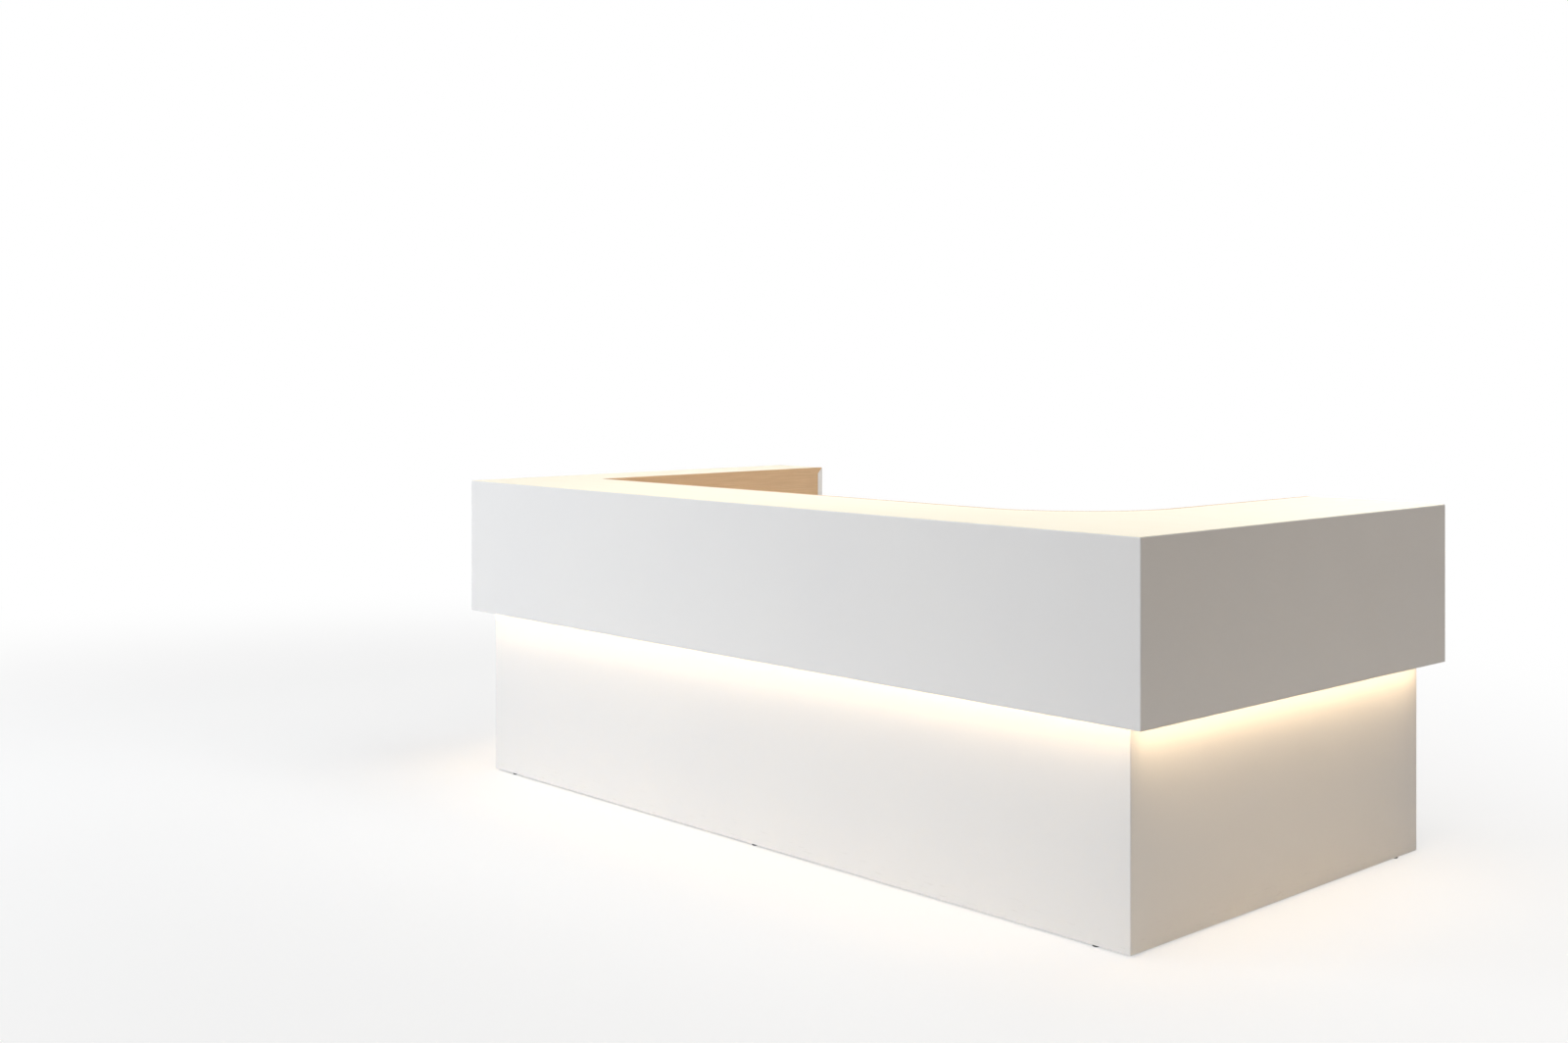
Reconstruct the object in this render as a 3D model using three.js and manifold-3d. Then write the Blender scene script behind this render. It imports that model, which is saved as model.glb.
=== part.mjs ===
// A U-shaped reception desk in two tiers: a white upper band with a counter on top, set out over
// a recessed base, with a light strip washing the base from the gap between them. Millimetres, +Z up.
// The visitor stands at -Y. The receptionist sits inside the U and faces -Y.
// The origin is on the floor, under the middle of the desk's outline.

import * as THREE from "three";
import { mergeVertices } from "three/addons/utils/BufferGeometryUtils.js";
import Module from "manifold-3d";

const wasm = await Module();
wasm.setup();

// Overall size
const DESK_LENGTH = 3100;
const DESK_DEPTH = 1600;
const DESK_HEIGHT = 1100;
const TIER_BOTTOM = 605; // lower edge of the upper band
const BASE_INSET_FRONT = 60;
const BASE_INSET_END = 75;
const BASE_INSET_BACK = 40;

// Boards
const BOARD = 25; // lacquered outer boards, worktops and gables
const CARCASS_BOARD = 18; // inner boards and storage
const FIT = 0.3; // glue line or assembly gap between two pieces
const OVERCUT = 1; // how far a cutting shape runs past the face that it opens

// Counter
const COUNTER_FRONT_WIDTH = 435;
const COUNTER_LEFT_WIDTH = 270;
const COUNTER_RIGHT_WIDTH = 490;
const CORNER_RADIUS = 400; // rounded inner corner of the counter, on the right
const LIPPING_THICKNESS = 18;
const LIPPING_HEIGHT = 60;
const CURVE_SEGMENTS = 20;

// Light gap
const SOFFIT_RECESS = 15; // the soffit sits this far above the band's lower edge and hides the light
const SOFFIT_THICKNESS = 18;
const LED_WIDTH = 12;
const LED_HEIGHT = 9;
const LED_END_MARGIN = 15;
const LED_FROM_FASCIA = 8;
const DRIVER_LENGTH = 210;
const DRIVER_HEIGHT = 55;
const DRIVER_DEPTH = 38;
const DRIVER_EAR = 25;
const DRIVER_PLATE = 3;
const DRIVER_AT = 630; // from the left inner panel to the driver
const DRIVER_BELOW_WORKTOP = 110;

// Worktop and its supports
const WORK_HEIGHT = 750;
const WORK_DEPTH = 760; // from the back of the front fascia
const NICHE_SETBACK = 30; // dividers and partition stand this far behind the counter's inner edge
const DIVIDER_AT = [780, 1560]; // from the left inner panel to each divider under the counter
const GABLE_MIDDLE_AT = 1170; // from the left inner panel to the middle gable
const GABLE_DEPTH = 600;
const GLIDE_HEIGHT = 5;
const GLIDE_RADIUS = 11;
const GLIDE_EDGE = 2; // chamfer round a glide's foot
const GLIDE_FROM_END = 120;

// Cable outlet and tray
const GROMMET_AT = 1700; // from the left inner panel to the outlet's centre
const GROMMET_FROM_COUNTER = 115; // from the counter's inner edge to the outlet's centre
const GROMMET_HOLE = 40; // radius of the hole in the worktop
const GROMMET_WALL = 3;
const GROMMET_FLANGE = 5;
const GROMMET_FLANGE_HEIGHT = 2;
const GROMMET_DEPTH = 18;
const GROMMET_LEDGE = 3;
const CAP_THICKNESS = 4;
const CAP_CLEARANCE = 0.8;
const CAP_NOTCH = 12; // radius of the cable notch in the cap
const TRAY_WIDTH = 100;
const TRAY_LIP = 45;
const TRAY_HEIGHT = 80;
const TRAY_SHEET = 2;
const TRAY_FLANGE = 20;
const TRAY_FROM_GABLE = 80; // at both ends
const TRAY_FROM_BASE = 20;

// Drawer pedestal
const PEDESTAL_WIDTH = 400;
const PEDESTAL_DEPTH = 590;
const PEDESTAL_KICK = 58; // floor of the drawer space above the ground
const PEDESTAL_KICK_RECESS = 40;
const FRONT_SETBACK = 2; // drawer fronts behind the worktop's edge
const FRONT_REVEAL = 2; // drawer fronts inside the pedestal's sides
const GRIP_GAP = 22; // hand room above each drawer front and between the doors
const GRIP_LIP = 5;
const GRIP_DEPTH = 22;
const BOX_DRAWER_FRONT = 135;
const BOX_DRAWER_HEIGHT = 75;
const FILE_DRAWER_HEIGHT = 250;
const DRAWER_LENGTH = 500;
const DRAWER_WALL = 12;
const DRAWER_FLOOR = 8;
const DRAWER_RISE = 10; // box above the lower edge of its front
const SIDE_CLEARANCE = 2;
const RUNNER_HEIGHT = 12;
const RUNNER_BITE = 7; // how far a runner reaches into the drawer's side
const RUNNER_CLEARANCE = 0.4;
const RUNNER_RISE = 35; // runner's middle above the underside of the box
const RUNNER_LENGTH = 470;
const RUNNER_FRONT = 12; // runner's end behind the front edge of the carcass
const LOCK_RADIUS = 7;
const LOCK_FLANGE = 2;
const LOCK_FLANGE_THICKNESS = 2;
const LOCK_LENGTH = 20;
const LOCK_FROM_SIDE = 62;
const LOCK_FROM_TOP = 37;
const LOCK_CLEARANCE = 0.4;
const KEYWAY = 2;
const CAM_LENGTH = 24;
const CAM_WIDTH = 9;
const CAM_THICKNESS = 3;

// Cupboard in the right-hand return
const CUPBOARD_FLOOR = 80; // top of the cupboard's floor
const KICK_RECESS = 45;
const DOOR_GAP = 3;
const HINGE_GAP = 4.5;
const SHELF_HEIGHT = 395;
const SHELF_SETBACK = 40;
const PIVOT_FROM_EDGE = 10;
const PIVOT_PIN = 3; // radius
const PIVOT_PIN_LENGTH = 12;
const PIVOT_CLEARANCE = 0.3;
const PIVOT_END_ROOM = 1; // from a pin's end to the bottom of its bore
const PIVOT_PLATE = 2;
const PIVOT_PLATE_LENGTH = 40;
const PIVOT_PLATE_WIDTH = 14;
const ROUND_SEGMENTS = 24;

// Lines that several pieces share
const MITRE_SETBACK = FIT / Math.SQRT2; // leaves a gap of FIT between two mitred faces
const LEFT = -DESK_LENGTH / 2;
const RIGHT = DESK_LENGTH / 2;
const FRONT = -DESK_DEPTH / 2;
const BACK = DESK_DEPTH / 2;
const INNER_LEFT = LEFT + COUNTER_LEFT_WIDTH;
const INNER_RIGHT = RIGHT - COUNTER_RIGHT_WIDTH;
const INNER_FRONT = FRONT + COUNTER_FRONT_WIDTH;
const BASE_LEFT = LEFT + BASE_INSET_END;
const BASE_RIGHT = RIGHT - BASE_INSET_END;
const BASE_FRONT = FRONT + BASE_INSET_FRONT;
const BASE_BACK = BACK - BASE_INSET_BACK;
const COUNTER_UNDER = DESK_HEIGHT - BOARD;
const WORK_UNDER = WORK_HEIGHT - BOARD;
const WORK_FRONT = FRONT + BOARD + FIT;
const WORK_BACK = WORK_FRONT + WORK_DEPTH;
const SOFFIT_UNDER = TIER_BOTTOM + SOFFIT_RECESS;
const CURVE_X = INNER_RIGHT - CORNER_RADIUS; // centre of the counter's rounded corner
const CURVE_Y = INNER_FRONT + CORNER_RADIUS;

// Finishes
const finish = (color, roughness, metalness = 0) =>
  new THREE.MeshStandardMaterial({ color, roughness, metalness });
const WHITE_LACQUER = finish(0xf1f0ee, 0.42);
const CREAM_LAMINATE = finish(0xf8eed9, 0.45);
const OAK_LAMINATE = finish(0xcda985, 0.6);
const BIRCH_PLY = finish(0xd7c5a9, 0.55);
const OPAL_LIGHT = finish(0xfff1d2, 0.35);
const GRAPHITE_PLASTIC = finish(0x2c2c2e, 0.55);
const POWDER_STEEL = finish(0xb9babb, 0.5, 0.6);
const BRIGHT_STEEL = finish(0xc9cacc, 0.3, 1);
const PALE_PLASTIC = finish(0xe4e1da, 0.5);

// Drawing planes: the shape's x, its y and the direction of extrusion, as axes of the desk
const X = new THREE.Vector3(1, 0, 0);
const Y = new THREE.Vector3(0, 1, 0);
const Z = new THREE.Vector3(0, 0, 1);
const MINUS_X = X.clone().negate();
const MINUS_Y = Y.clone().negate();
const MINUS_Z = Z.clone().negate();
const PLAN = [X, Y, Z];
const SIDE = [Y, Z, X];
const ELEVATION = [X, Z, MINUS_Y];

const desk = new THREE.Group();

function add(name, material, geometry, at = [0, 0, 0], axes = PLAN) {
  const mesh = new THREE.Mesh(geometry, material);
  mesh.name = name;
  mesh.setRotationFromMatrix(new THREE.Matrix4().makeBasis(...axes));
  mesh.position.set(...at);
  desk.add(mesh);
}

function board(name, material, [x0, x1], [y0, y1], [z0, z1]) {
  const geometry = new THREE.BoxGeometry(x1 - x0, y1 - y0, z1 - z0);
  add(name, material, geometry, [(x0 + x1) / 2, (y0 + y1) / 2, (z0 + z1) / 2]);
}

function outline(points) {
  return new THREE.Shape(points.map(([x, y]) => new THREE.Vector2(x, y)));
}

function rectangle([x0, x1], [y0, y1]) {
  return outline([[x0, y0], [x1, y0], [x1, y1], [x0, y1]]);
}

function extrude(shape, depth) {
  return new THREE.ExtrudeGeometry(shape, { depth, bevelEnabled: false, curveSegments: CURVE_SEGMENTS });
}

// Booleans on closed geometries
function solid(geometry) {
  const bare = geometry.clone();
  bare.deleteAttribute("normal");
  bare.deleteAttribute("uv");
  const merged = mergeVertices(bare, 1e-4);
  return new wasm.Manifold(
    new wasm.Mesh({
      numProp: 3,
      vertProperties: merged.attributes.position.array,
      triVerts: new Uint32Array(merged.index.array),
    }),
  );
}

function geometryOf(body) {
  const mesh = body.getMesh();
  return new THREE.BufferGeometry()
    .setAttribute("position", new THREE.BufferAttribute(mesh.vertProperties, 3))
    .setIndex(new THREE.BufferAttribute(mesh.triVerts, 1));
}

function cut(geometry, ...tools) {
  return geometryOf(tools.reduce((rest, tool) => rest.subtract(solid(tool)), solid(geometry)));
}

function join(...geometries) {
  return geometryOf(geometries.map(solid).reduce((all, next) => all.add(next)));
}

function block([x0, x1], [y0, y1], [z0, z1]) {
  const geometry = new THREE.BoxGeometry(x1 - x0, y1 - y0, z1 - z0);
  return geometry.translate((x0 + x1) / 2, (y0 + y1) / 2, (z0 + z1) / 2);
}

// A round bar along Z from z0 to z1
function bar(radius, x, y, [z0, z1]) {
  const geometry = new THREE.CylinderGeometry(radius, radius, z1 - z0, ROUND_SEGMENTS);
  return geometry.rotateX(Math.PI / 2).translate(x, y, (z0 + z1) / 2);
}

// Mitred boards: the outer face lies in local y = 0 and the board stands on local z = 0.
// Deeper into the board, a mitred edge is cut back further.
function mitredBoard(length, height, { left = false, right = false, top = false }) {
  const geometry = block([-length / 2, length / 2], [0, BOARD], [0, height]);
  const p = geometry.attributes.position;
  for (let i = 0; i < p.count; i++) {
    const setback = MITRE_SETBACK + p.getY(i);
    if (left && p.getX(i) < 0) p.setX(i, p.getX(i) + setback);
    if (right && p.getX(i) > 0) p.setX(i, p.getX(i) - setback);
    if (top && p.getZ(i) > 0) p.setZ(i, p.getZ(i) - setback);
  }
  return geometry;
}

// Turns of a mitred board about Z, for each side that its outer face looks to
const FACING = {
  front: PLAN,
  left: [MINUS_Y, X, Z],
  right: [Y, MINUS_X, Z],
  back: [MINUS_X, MINUS_Y, Z],
};

// The outer boards of one tier, round the three closed sides and the two ends of the U
function tierBoards(prefix, suffix, lines, [z0, z1], top) {
  const height = z1 - z0;
  const wide = lines.right - lines.left;
  const deep = lines.back - lines.front;
  const midX = (lines.left + lines.right) / 2;
  const midY = (lines.front + lines.back) / 2;
  const leftEnd = INNER_LEFT - lines.left;
  const rightEnd = lines.right - INNER_RIGHT;
  const both = { left: true, right: true, top };
  const put = (side, geometry, x, y, facing) =>
    add(`${prefix}_${side}${suffix}`, WHITE_LACQUER, geometry, [x, y, z0], FACING[facing]);
  put("front", mitredBoard(wide, height, both), midX, lines.front, "front");
  put("left", mitredBoard(deep, height, both), lines.left, midY, "left");
  put("right", mitredBoard(deep, height, both), lines.right, midY, "right");
  const leftBack = mitredBoard(leftEnd, height, { right: true, top });
  put("left_back", leftBack, lines.left + leftEnd / 2, lines.back, "back");
  const rightBack = mitredBoard(rightEnd, height, { left: true, top });
  put("right_back", rightBack, lines.right - rightEnd / 2, lines.back, "back");
}

const UPPER_LINES = { left: LEFT, right: RIGHT, front: FRONT, back: BACK };
const BASE_LINES = { left: BASE_LEFT, right: BASE_RIGHT, front: BASE_FRONT, back: BASE_BACK };
tierBoards("fascia", "", UPPER_LINES, [TIER_BOTTOM, DESK_HEIGHT], true);
tierBoards("base", "_panel", BASE_LINES, [GLIDE_HEIGHT, WORK_UNDER - FIT], false);

// Counter tops: the lower face is drawn in on the outer sides, to mitre with the fascias.
function counterTop(name, shape, sides) {
  const geometry = extrude(shape, BOARD);
  const p = geometry.attributes.position;
  const reach = BOARD + MITRE_SETBACK;
  for (let i = 0; i < p.count; i++) {
    if (p.getZ(i) > BOARD / 2) continue;
    if (sides.includes("left")) p.setX(i, Math.max(p.getX(i), LEFT + reach));
    if (sides.includes("right")) p.setX(i, Math.min(p.getX(i), RIGHT - reach));
    if (sides.includes("front")) p.setY(i, Math.max(p.getY(i), FRONT + reach));
    if (sides.includes("back")) p.setY(i, Math.min(p.getY(i), BACK - reach));
  }
  add(name, CREAM_LAMINATE, geometry, [0, 0, COUNTER_UNDER]);
}

function counterTops() {
  const left = LEFT + MITRE_SETBACK;
  const right = RIGHT - MITRE_SETBACK;
  const front = FRONT + MITRE_SETBACK;
  const back = BACK - MITRE_SETBACK;
  const lippingBack = INNER_FRONT - LIPPING_THICKNESS - FIT;
  const lippingRight = INNER_RIGHT + LIPPING_THICKNESS + FIT;
  const curve = CORNER_RADIUS + LIPPING_THICKNESS + FIT;

  const frontShape = outline([[left, front], [right, front], [right, CURVE_Y], [lippingRight, CURVE_Y]]);
  frontShape.absarc(CURVE_X, CURVE_Y, curve, 0, -Math.PI / 2, true);
  frontShape.lineTo(INNER_LEFT, lippingBack);
  frontShape.lineTo(INNER_LEFT, INNER_FRONT);
  frontShape.lineTo(left, INNER_FRONT);
  counterTop("counter_top_front", frontShape, ["left", "right", "front"]);

  const leftInner = INNER_LEFT - CARCASS_BOARD - FIT;
  const leftFront = INNER_FRONT + FIT;
  const leftShape = rectangle([left, leftInner], [leftFront, back]);
  counterTop("counter_top_left", leftShape, ["left", "back"]);

  const rightFront = CURVE_Y + FIT;
  const rightShape = rectangle([lippingRight, right], [rightFront, back]);
  counterTop("counter_top_right", rightShape, ["right", "back"]);
}
counterTops();

// Oak lipping: one strip along the counter's inner edge, bent round the right-hand corner
function counterLipping() {
  const outer = CORNER_RADIUS + LIPPING_THICKNESS;
  const left = INNER_LEFT + FIT;
  const front = INNER_FRONT - LIPPING_THICKNESS;
  const back = BACK - MITRE_SETBACK;
  const strip = outline([[left, front], [CURVE_X, front]]);
  strip.absarc(CURVE_X, CURVE_Y, outer, -Math.PI / 2, 0, false);
  strip.lineTo(INNER_RIGHT + LIPPING_THICKNESS, back);
  strip.lineTo(INNER_RIGHT, back);
  strip.lineTo(INNER_RIGHT, CURVE_Y);
  strip.absarc(CURVE_X, CURVE_Y, CORNER_RADIUS, 0, -Math.PI / 2, true);
  strip.lineTo(left, INNER_FRONT);
  const inside = BACK - BOARD - FIT;
  const beyond = BACK + OVERCUT;
  const fascia = outline([
    [inside, -OVERCUT],
    [beyond, -OVERCUT],
    [beyond, LIPPING_HEIGHT + OVERCUT],
    [inside, LIPPING_HEIGHT - BOARD],
  ]);
  const wedge = extrude(fascia, 2 * LIPPING_THICKNESS).applyMatrix4(new THREE.Matrix4().makeBasis(...SIDE));
  wedge.translate(INNER_RIGHT - LIPPING_THICKNESS / 2, 0, 0);
  const lipping = cut(extrude(strip, LIPPING_HEIGHT), wedge);
  add("counter_lipping", OAK_LAMINATE, lipping, [0, 0, DESK_HEIGHT - LIPPING_HEIGHT]);
}
counterLipping();

// Left return: an oak panel from the floor to the counter closes it towards the receptionist.
function leftInnerPanel() {
  const low = { front: BASE_FRONT + BOARD + FIT, back: BASE_BACK - BOARD - FIT };
  const high = { front: FRONT + BOARD + FIT, back: BACK - BOARD - FIT };
  const step = WORK_UNDER + FIT;
  const panel = outline([
    [low.front, GLIDE_HEIGHT],
    [low.back, GLIDE_HEIGHT],
    [low.back, step],
    [high.back, step],
    [high.back, COUNTER_UNDER],
    [BACK - MITRE_SETBACK, DESK_HEIGHT],
    [INNER_FRONT + FIT, DESK_HEIGHT],
    [INNER_FRONT + FIT, COUNTER_UNDER - FIT],
    [high.front, COUNTER_UNDER - FIT],
    [high.front, step],
    [low.front, step],
  ]);
  const at = [INNER_LEFT - CARCASS_BOARD, 0, 0];
  add("left_inner_panel", OAK_LAMINATE, extrude(panel, CARCASS_BOARD), at, SIDE);
}
leftInnerPanel();

// Soffit and light strips in the gap between the two tiers; at the U's ends a filler closes the gap
function lightStrip(length) {
  const half = LED_WIDTH / 2;
  const dome = LED_HEIGHT / 3;
  const section = outline([[half, dome], [half, LED_HEIGHT], [-half, LED_HEIGHT], [-half, dome]]);
  section.quadraticCurveTo(0, -dome, half, dome);
  return extrude(section, length);
}

function groove([x0, x1], [y0, y1]) {
  return block([x0 - FIT, x1 + FIT], [y0 - FIT, y1 + FIT], [-OVERCUT, LED_HEIGHT + FIT]);
}

function soffits() {
  const outLeft = LEFT + BOARD + FIT;
  const outRight = RIGHT - BOARD - FIT;
  const outFront = FRONT + BOARD + FIT;
  const outBack = BACK - BOARD - FIT;
  const inFront = BASE_FRONT - FIT;
  const inBack = BASE_BACK + FIT;
  const half = LED_WIDTH / 2;
  const at = [0, 0, SOFFIT_UNDER];

  const midFront = outFront + LED_FROM_FASCIA + half;
  const span = [outLeft + LED_END_MARGIN, outRight - LED_END_MARGIN];
  const frontBoard = block([outLeft, outRight], [outFront, inFront], [0, SOFFIT_THICKNESS]);
  const frontGroove = groove(span, [midFront - half, midFront + half]);
  add("soffit_front", WHITE_LACQUER, cut(frontBoard, frontGroove), at);
  const frontStrip = lightStrip(span[1] - span[0]);
  add("led_strip_front", OPAL_LIGHT, frontStrip, [span[0], midFront, SOFFIT_UNDER], SIDE);

  const run = [inFront + FIT + LED_END_MARGIN, outBack - LED_END_MARGIN];
  const endSoffit = (side, out, base, inner) => {
    const mid = out + Math.sign(base - out) * (LED_FROM_FASCIA + half);
    const corner = [[out, inFront + FIT], [base, inFront + FIT], [base, inBack], [inner, inBack]];
    const shape = outline([...corner, [inner, outBack], [out, outBack]]);
    const plate = cut(extrude(shape, SOFFIT_THICKNESS), groove([mid - half, mid + half], run));
    const fillerEnd = inner + Math.sign(out - inner) * CARCASS_BOARD;
    const filler = block(
      [Math.min(inner, fillerEnd), Math.max(inner, fillerEnd)],
      [inBack, outBack],
      [0, WORK_UNDER - FIT - SOFFIT_UNDER],
    );
    add(`soffit_${side}`, WHITE_LACQUER, join(plate, filler), at);
    const strip = lightStrip(run[1] - run[0]);
    add(`led_strip_${side}`, OPAL_LIGHT, strip, [mid, run[1], SOFFIT_UNDER], ELEVATION);
  };
  endSoffit("left", outLeft, BASE_LEFT - FIT, INNER_LEFT);
  endSoffit("right", outRight, BASE_RIGHT + FIT, INNER_RIGHT);
}
soffits();

// The driver for the light strips, screwed to the back of the base by its two ears
function ledDriver() {
  const ear = DRIVER_EAR;
  const far = DRIVER_LENGTH - DRIVER_EAR;
  const plan = outline([
    [0, 0],
    [DRIVER_LENGTH, 0],
    [DRIVER_LENGTH, DRIVER_PLATE],
    [far, DRIVER_PLATE],
    [far, DRIVER_DEPTH],
    [ear, DRIVER_DEPTH],
    [ear, DRIVER_PLATE],
    [0, DRIVER_PLATE],
  ]);
  const z = WORK_UNDER - DRIVER_BELOW_WORKTOP - DRIVER_HEIGHT;
  const at = [INNER_LEFT + DRIVER_AT, BASE_FRONT + BOARD + FIT, z];
  add("led_driver", PALE_PLASTIC, extrude(plan, DRIVER_HEIGHT), at);
}
ledDriver();

// Worktops at sitting height: one along the front, under the counter, and one along the right return
const GROMMET_X = INNER_LEFT + GROMMET_AT;
const GROMMET_Y = INNER_FRONT + GROMMET_FROM_COUNTER;
const PARTITION_BACK = WORK_BACK + FIT + CARCASS_BOARD;

function worktops() {
  const right = RIGHT - BOARD - FIT;
  const top = [WORK_UNDER, WORK_HEIGHT];
  const slab = block([INNER_LEFT + FIT, right], [WORK_FRONT, WORK_BACK], top);
  const hole = bar(GROMMET_HOLE + FIT, GROMMET_X, GROMMET_Y, [WORK_UNDER - OVERCUT, WORK_HEIGHT + OVERCUT]);
  add("worktop_front", OAK_LAMINATE, cut(slab, hole));
  const depth = [PARTITION_BACK + FIT, BACK - BOARD - FIT];
  board("worktop_return", OAK_LAMINATE, [INNER_RIGHT, right], depth, top);
}
worktops();

function supports() {
  const niche = [WORK_FRONT, INNER_FRONT - NICHE_SETBACK];
  const storey = [WORK_HEIGHT + FIT, COUNTER_UNDER - FIT];
  ["divider_left", "divider_right"].forEach((name, i) => {
    const x = INNER_LEFT + DIVIDER_AT[i];
    board(name, OAK_LAMINATE, [x, x + CARCASS_BOARD], niche, storey);
  });
  const behindBase = BASE_FRONT + BOARD + FIT;
  const knee = [0, WORK_UNDER - FIT];
  const middle = INNER_LEFT + GABLE_MIDDLE_AT;
  const shallow = [behindBase, behindBase + GABLE_DEPTH];
  board("gable_middle", WHITE_LACQUER, [middle, middle + BOARD], shallow, knee);
  board("gable_right", WHITE_LACQUER, [INNER_RIGHT, INNER_RIGHT + BOARD], [behindBase, WORK_BACK], knee);
}
supports();

// A board across the right return, from the floor to the counter: side of the cupboard, and a support
function returnPartition() {
  const base = BASE_RIGHT - BOARD - FIT;
  const fascia = RIGHT - BOARD - FIT;
  const setback = INNER_RIGHT + NICHE_SETBACK;
  const panel = outline([
    [INNER_RIGHT, 0],
    [base, 0],
    [base, WORK_UNDER],
    [fascia, WORK_UNDER],
    [fascia, COUNTER_UNDER - FIT],
    [setback, COUNTER_UNDER - FIT],
    [setback, WORK_HEIGHT],
    [INNER_RIGHT, WORK_HEIGHT],
  ]);
  add("return_partition", OAK_LAMINATE, extrude(panel, CARCASS_BOARD), [0, PARTITION_BACK, 0], ELEVATION);
}
returnPartition();

// Glides under the base boards
function glides() {
  const section = outline([
    [0, 0],
    [GLIDE_RADIUS - GLIDE_EDGE, 0],
    [GLIDE_RADIUS, GLIDE_EDGE],
    [GLIDE_RADIUS, GLIDE_HEIGHT - FIT],
    [0, GLIDE_HEIGHT - FIT],
  ]);
  const glide = new THREE.LatheGeometry(section.getPoints(), ROUND_SEGMENTS).rotateX(Math.PI / 2);
  const front = BASE_FRONT + BOARD / 2;
  const back = BASE_BACK - GLIDE_FROM_END;
  const places = {
    front_left: [BASE_LEFT + GLIDE_FROM_END, front],
    front_middle: [0, front],
    front_right: [BASE_RIGHT - GLIDE_FROM_END, front],
    back_left: [BASE_LEFT + BOARD / 2, back],
    back_right: [BASE_RIGHT - BOARD / 2, back],
  };
  for (const [where, [x, y]] of Object.entries(places)) {
    add(`glide_${where}`, GRAPHITE_PLASTIC, glide, [x, y, 0]);
  }
}
glides();

// Cable outlet: a ring let into the worktop and a loose cap with a cable notch
function grommet() {
  const inner = GROMMET_HOLE - GROMMET_WALL;
  const ledge = -CAP_THICKNESS - FIT;
  const section = outline([
    [inner - GROMMET_LEDGE, -GROMMET_DEPTH],
    [GROMMET_HOLE, -GROMMET_DEPTH],
    [GROMMET_HOLE, FIT],
    [GROMMET_HOLE + GROMMET_FLANGE, FIT],
    [inner, GROMMET_FLANGE_HEIGHT + FIT],
    [inner, ledge],
    [inner - GROMMET_LEDGE, ledge],
  ]);
  const points = [...section.getPoints(), section.getPoints()[0]];
  const ring = new THREE.LatheGeometry(points, ROUND_SEGMENTS).rotateX(Math.PI / 2);
  add("grommet_ring", GRAPHITE_PLASTIC, ring, [GROMMET_X, GROMMET_Y, WORK_HEIGHT]);

  const rim = inner - CAP_CLEARANCE;
  const half = Math.asin(CAP_NOTCH / rim);
  const cap = new THREE.Shape();
  cap.absarc(0, 0, rim, half, 2 * Math.PI - half, false);
  cap.absarc(rim * Math.cos(half), 0, CAP_NOTCH, -Math.PI / 2, Math.PI / 2, true);
  const at = [GROMMET_X, GROMMET_Y, WORK_HEIGHT - CAP_THICKNESS];
  add("grommet_cap", GRAPHITE_PLASTIC, extrude(cap, CAP_THICKNESS), at);
}
grommet();

// Cable tray: a folded sheet hung under the worktop by its flange
function cableTray() {
  const s = TRAY_SHEET;
  const section = outline([
    [0, 0],
    [TRAY_WIDTH, 0],
    [TRAY_WIDTH, TRAY_LIP],
    [TRAY_WIDTH - s, TRAY_LIP],
    [TRAY_WIDTH - s, s],
    [s, s],
    [s, TRAY_HEIGHT - s],
    [TRAY_FLANGE, TRAY_HEIGHT - s],
    [TRAY_FLANGE, TRAY_HEIGHT],
    [0, TRAY_HEIGHT],
  ]);
  const x = INNER_LEFT + GABLE_MIDDLE_AT + BOARD + TRAY_FROM_GABLE;
  const length = INNER_RIGHT - TRAY_FROM_GABLE - x;
  const y = BASE_FRONT + BOARD + TRAY_FROM_BASE;
  const z = WORK_UNDER - FIT - TRAY_HEIGHT;
  add("cable_tray", POWDER_STEEL, extrude(section, length), [x, y, z], SIDE);
}
cableTray();

// A front whose far edge is scooped out behind a thin lip, as a finger pull.
// The shape's x runs from the plain edge to the lip, its y from the outer face inwards.
function gripFront(height, width) {
  const scoop = CARCASS_BOARD - GRIP_LIP;
  const shape = outline([[0, 0], [height, 0], [height, GRIP_LIP], [height - GRIP_DEPTH + scoop, GRIP_LIP]]);
  shape.absarc(height - GRIP_DEPTH + scoop, CARCASS_BOARD, scoop, -Math.PI / 2, -Math.PI, true);
  shape.lineTo(0, CARCASS_BOARD);
  return extrude(shape, width);
}

// Drawer pedestal
const PEDESTAL_LEFT = INNER_LEFT + FIT;
const PEDESTAL_RIGHT = PEDESTAL_LEFT + PEDESTAL_WIDTH;
const DRAWER_FACE = WORK_BACK - FRONT_SETBACK;
const PEDESTAL_FRONT = DRAWER_FACE - CARCASS_BOARD - FIT;
const PEDESTAL_BACK = PEDESTAL_FRONT - PEDESTAL_DEPTH;
const SPACE_LEFT = PEDESTAL_LEFT + CARCASS_BOARD;
const SPACE_RIGHT = PEDESTAL_RIGHT - CARCASS_BOARD;

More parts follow.
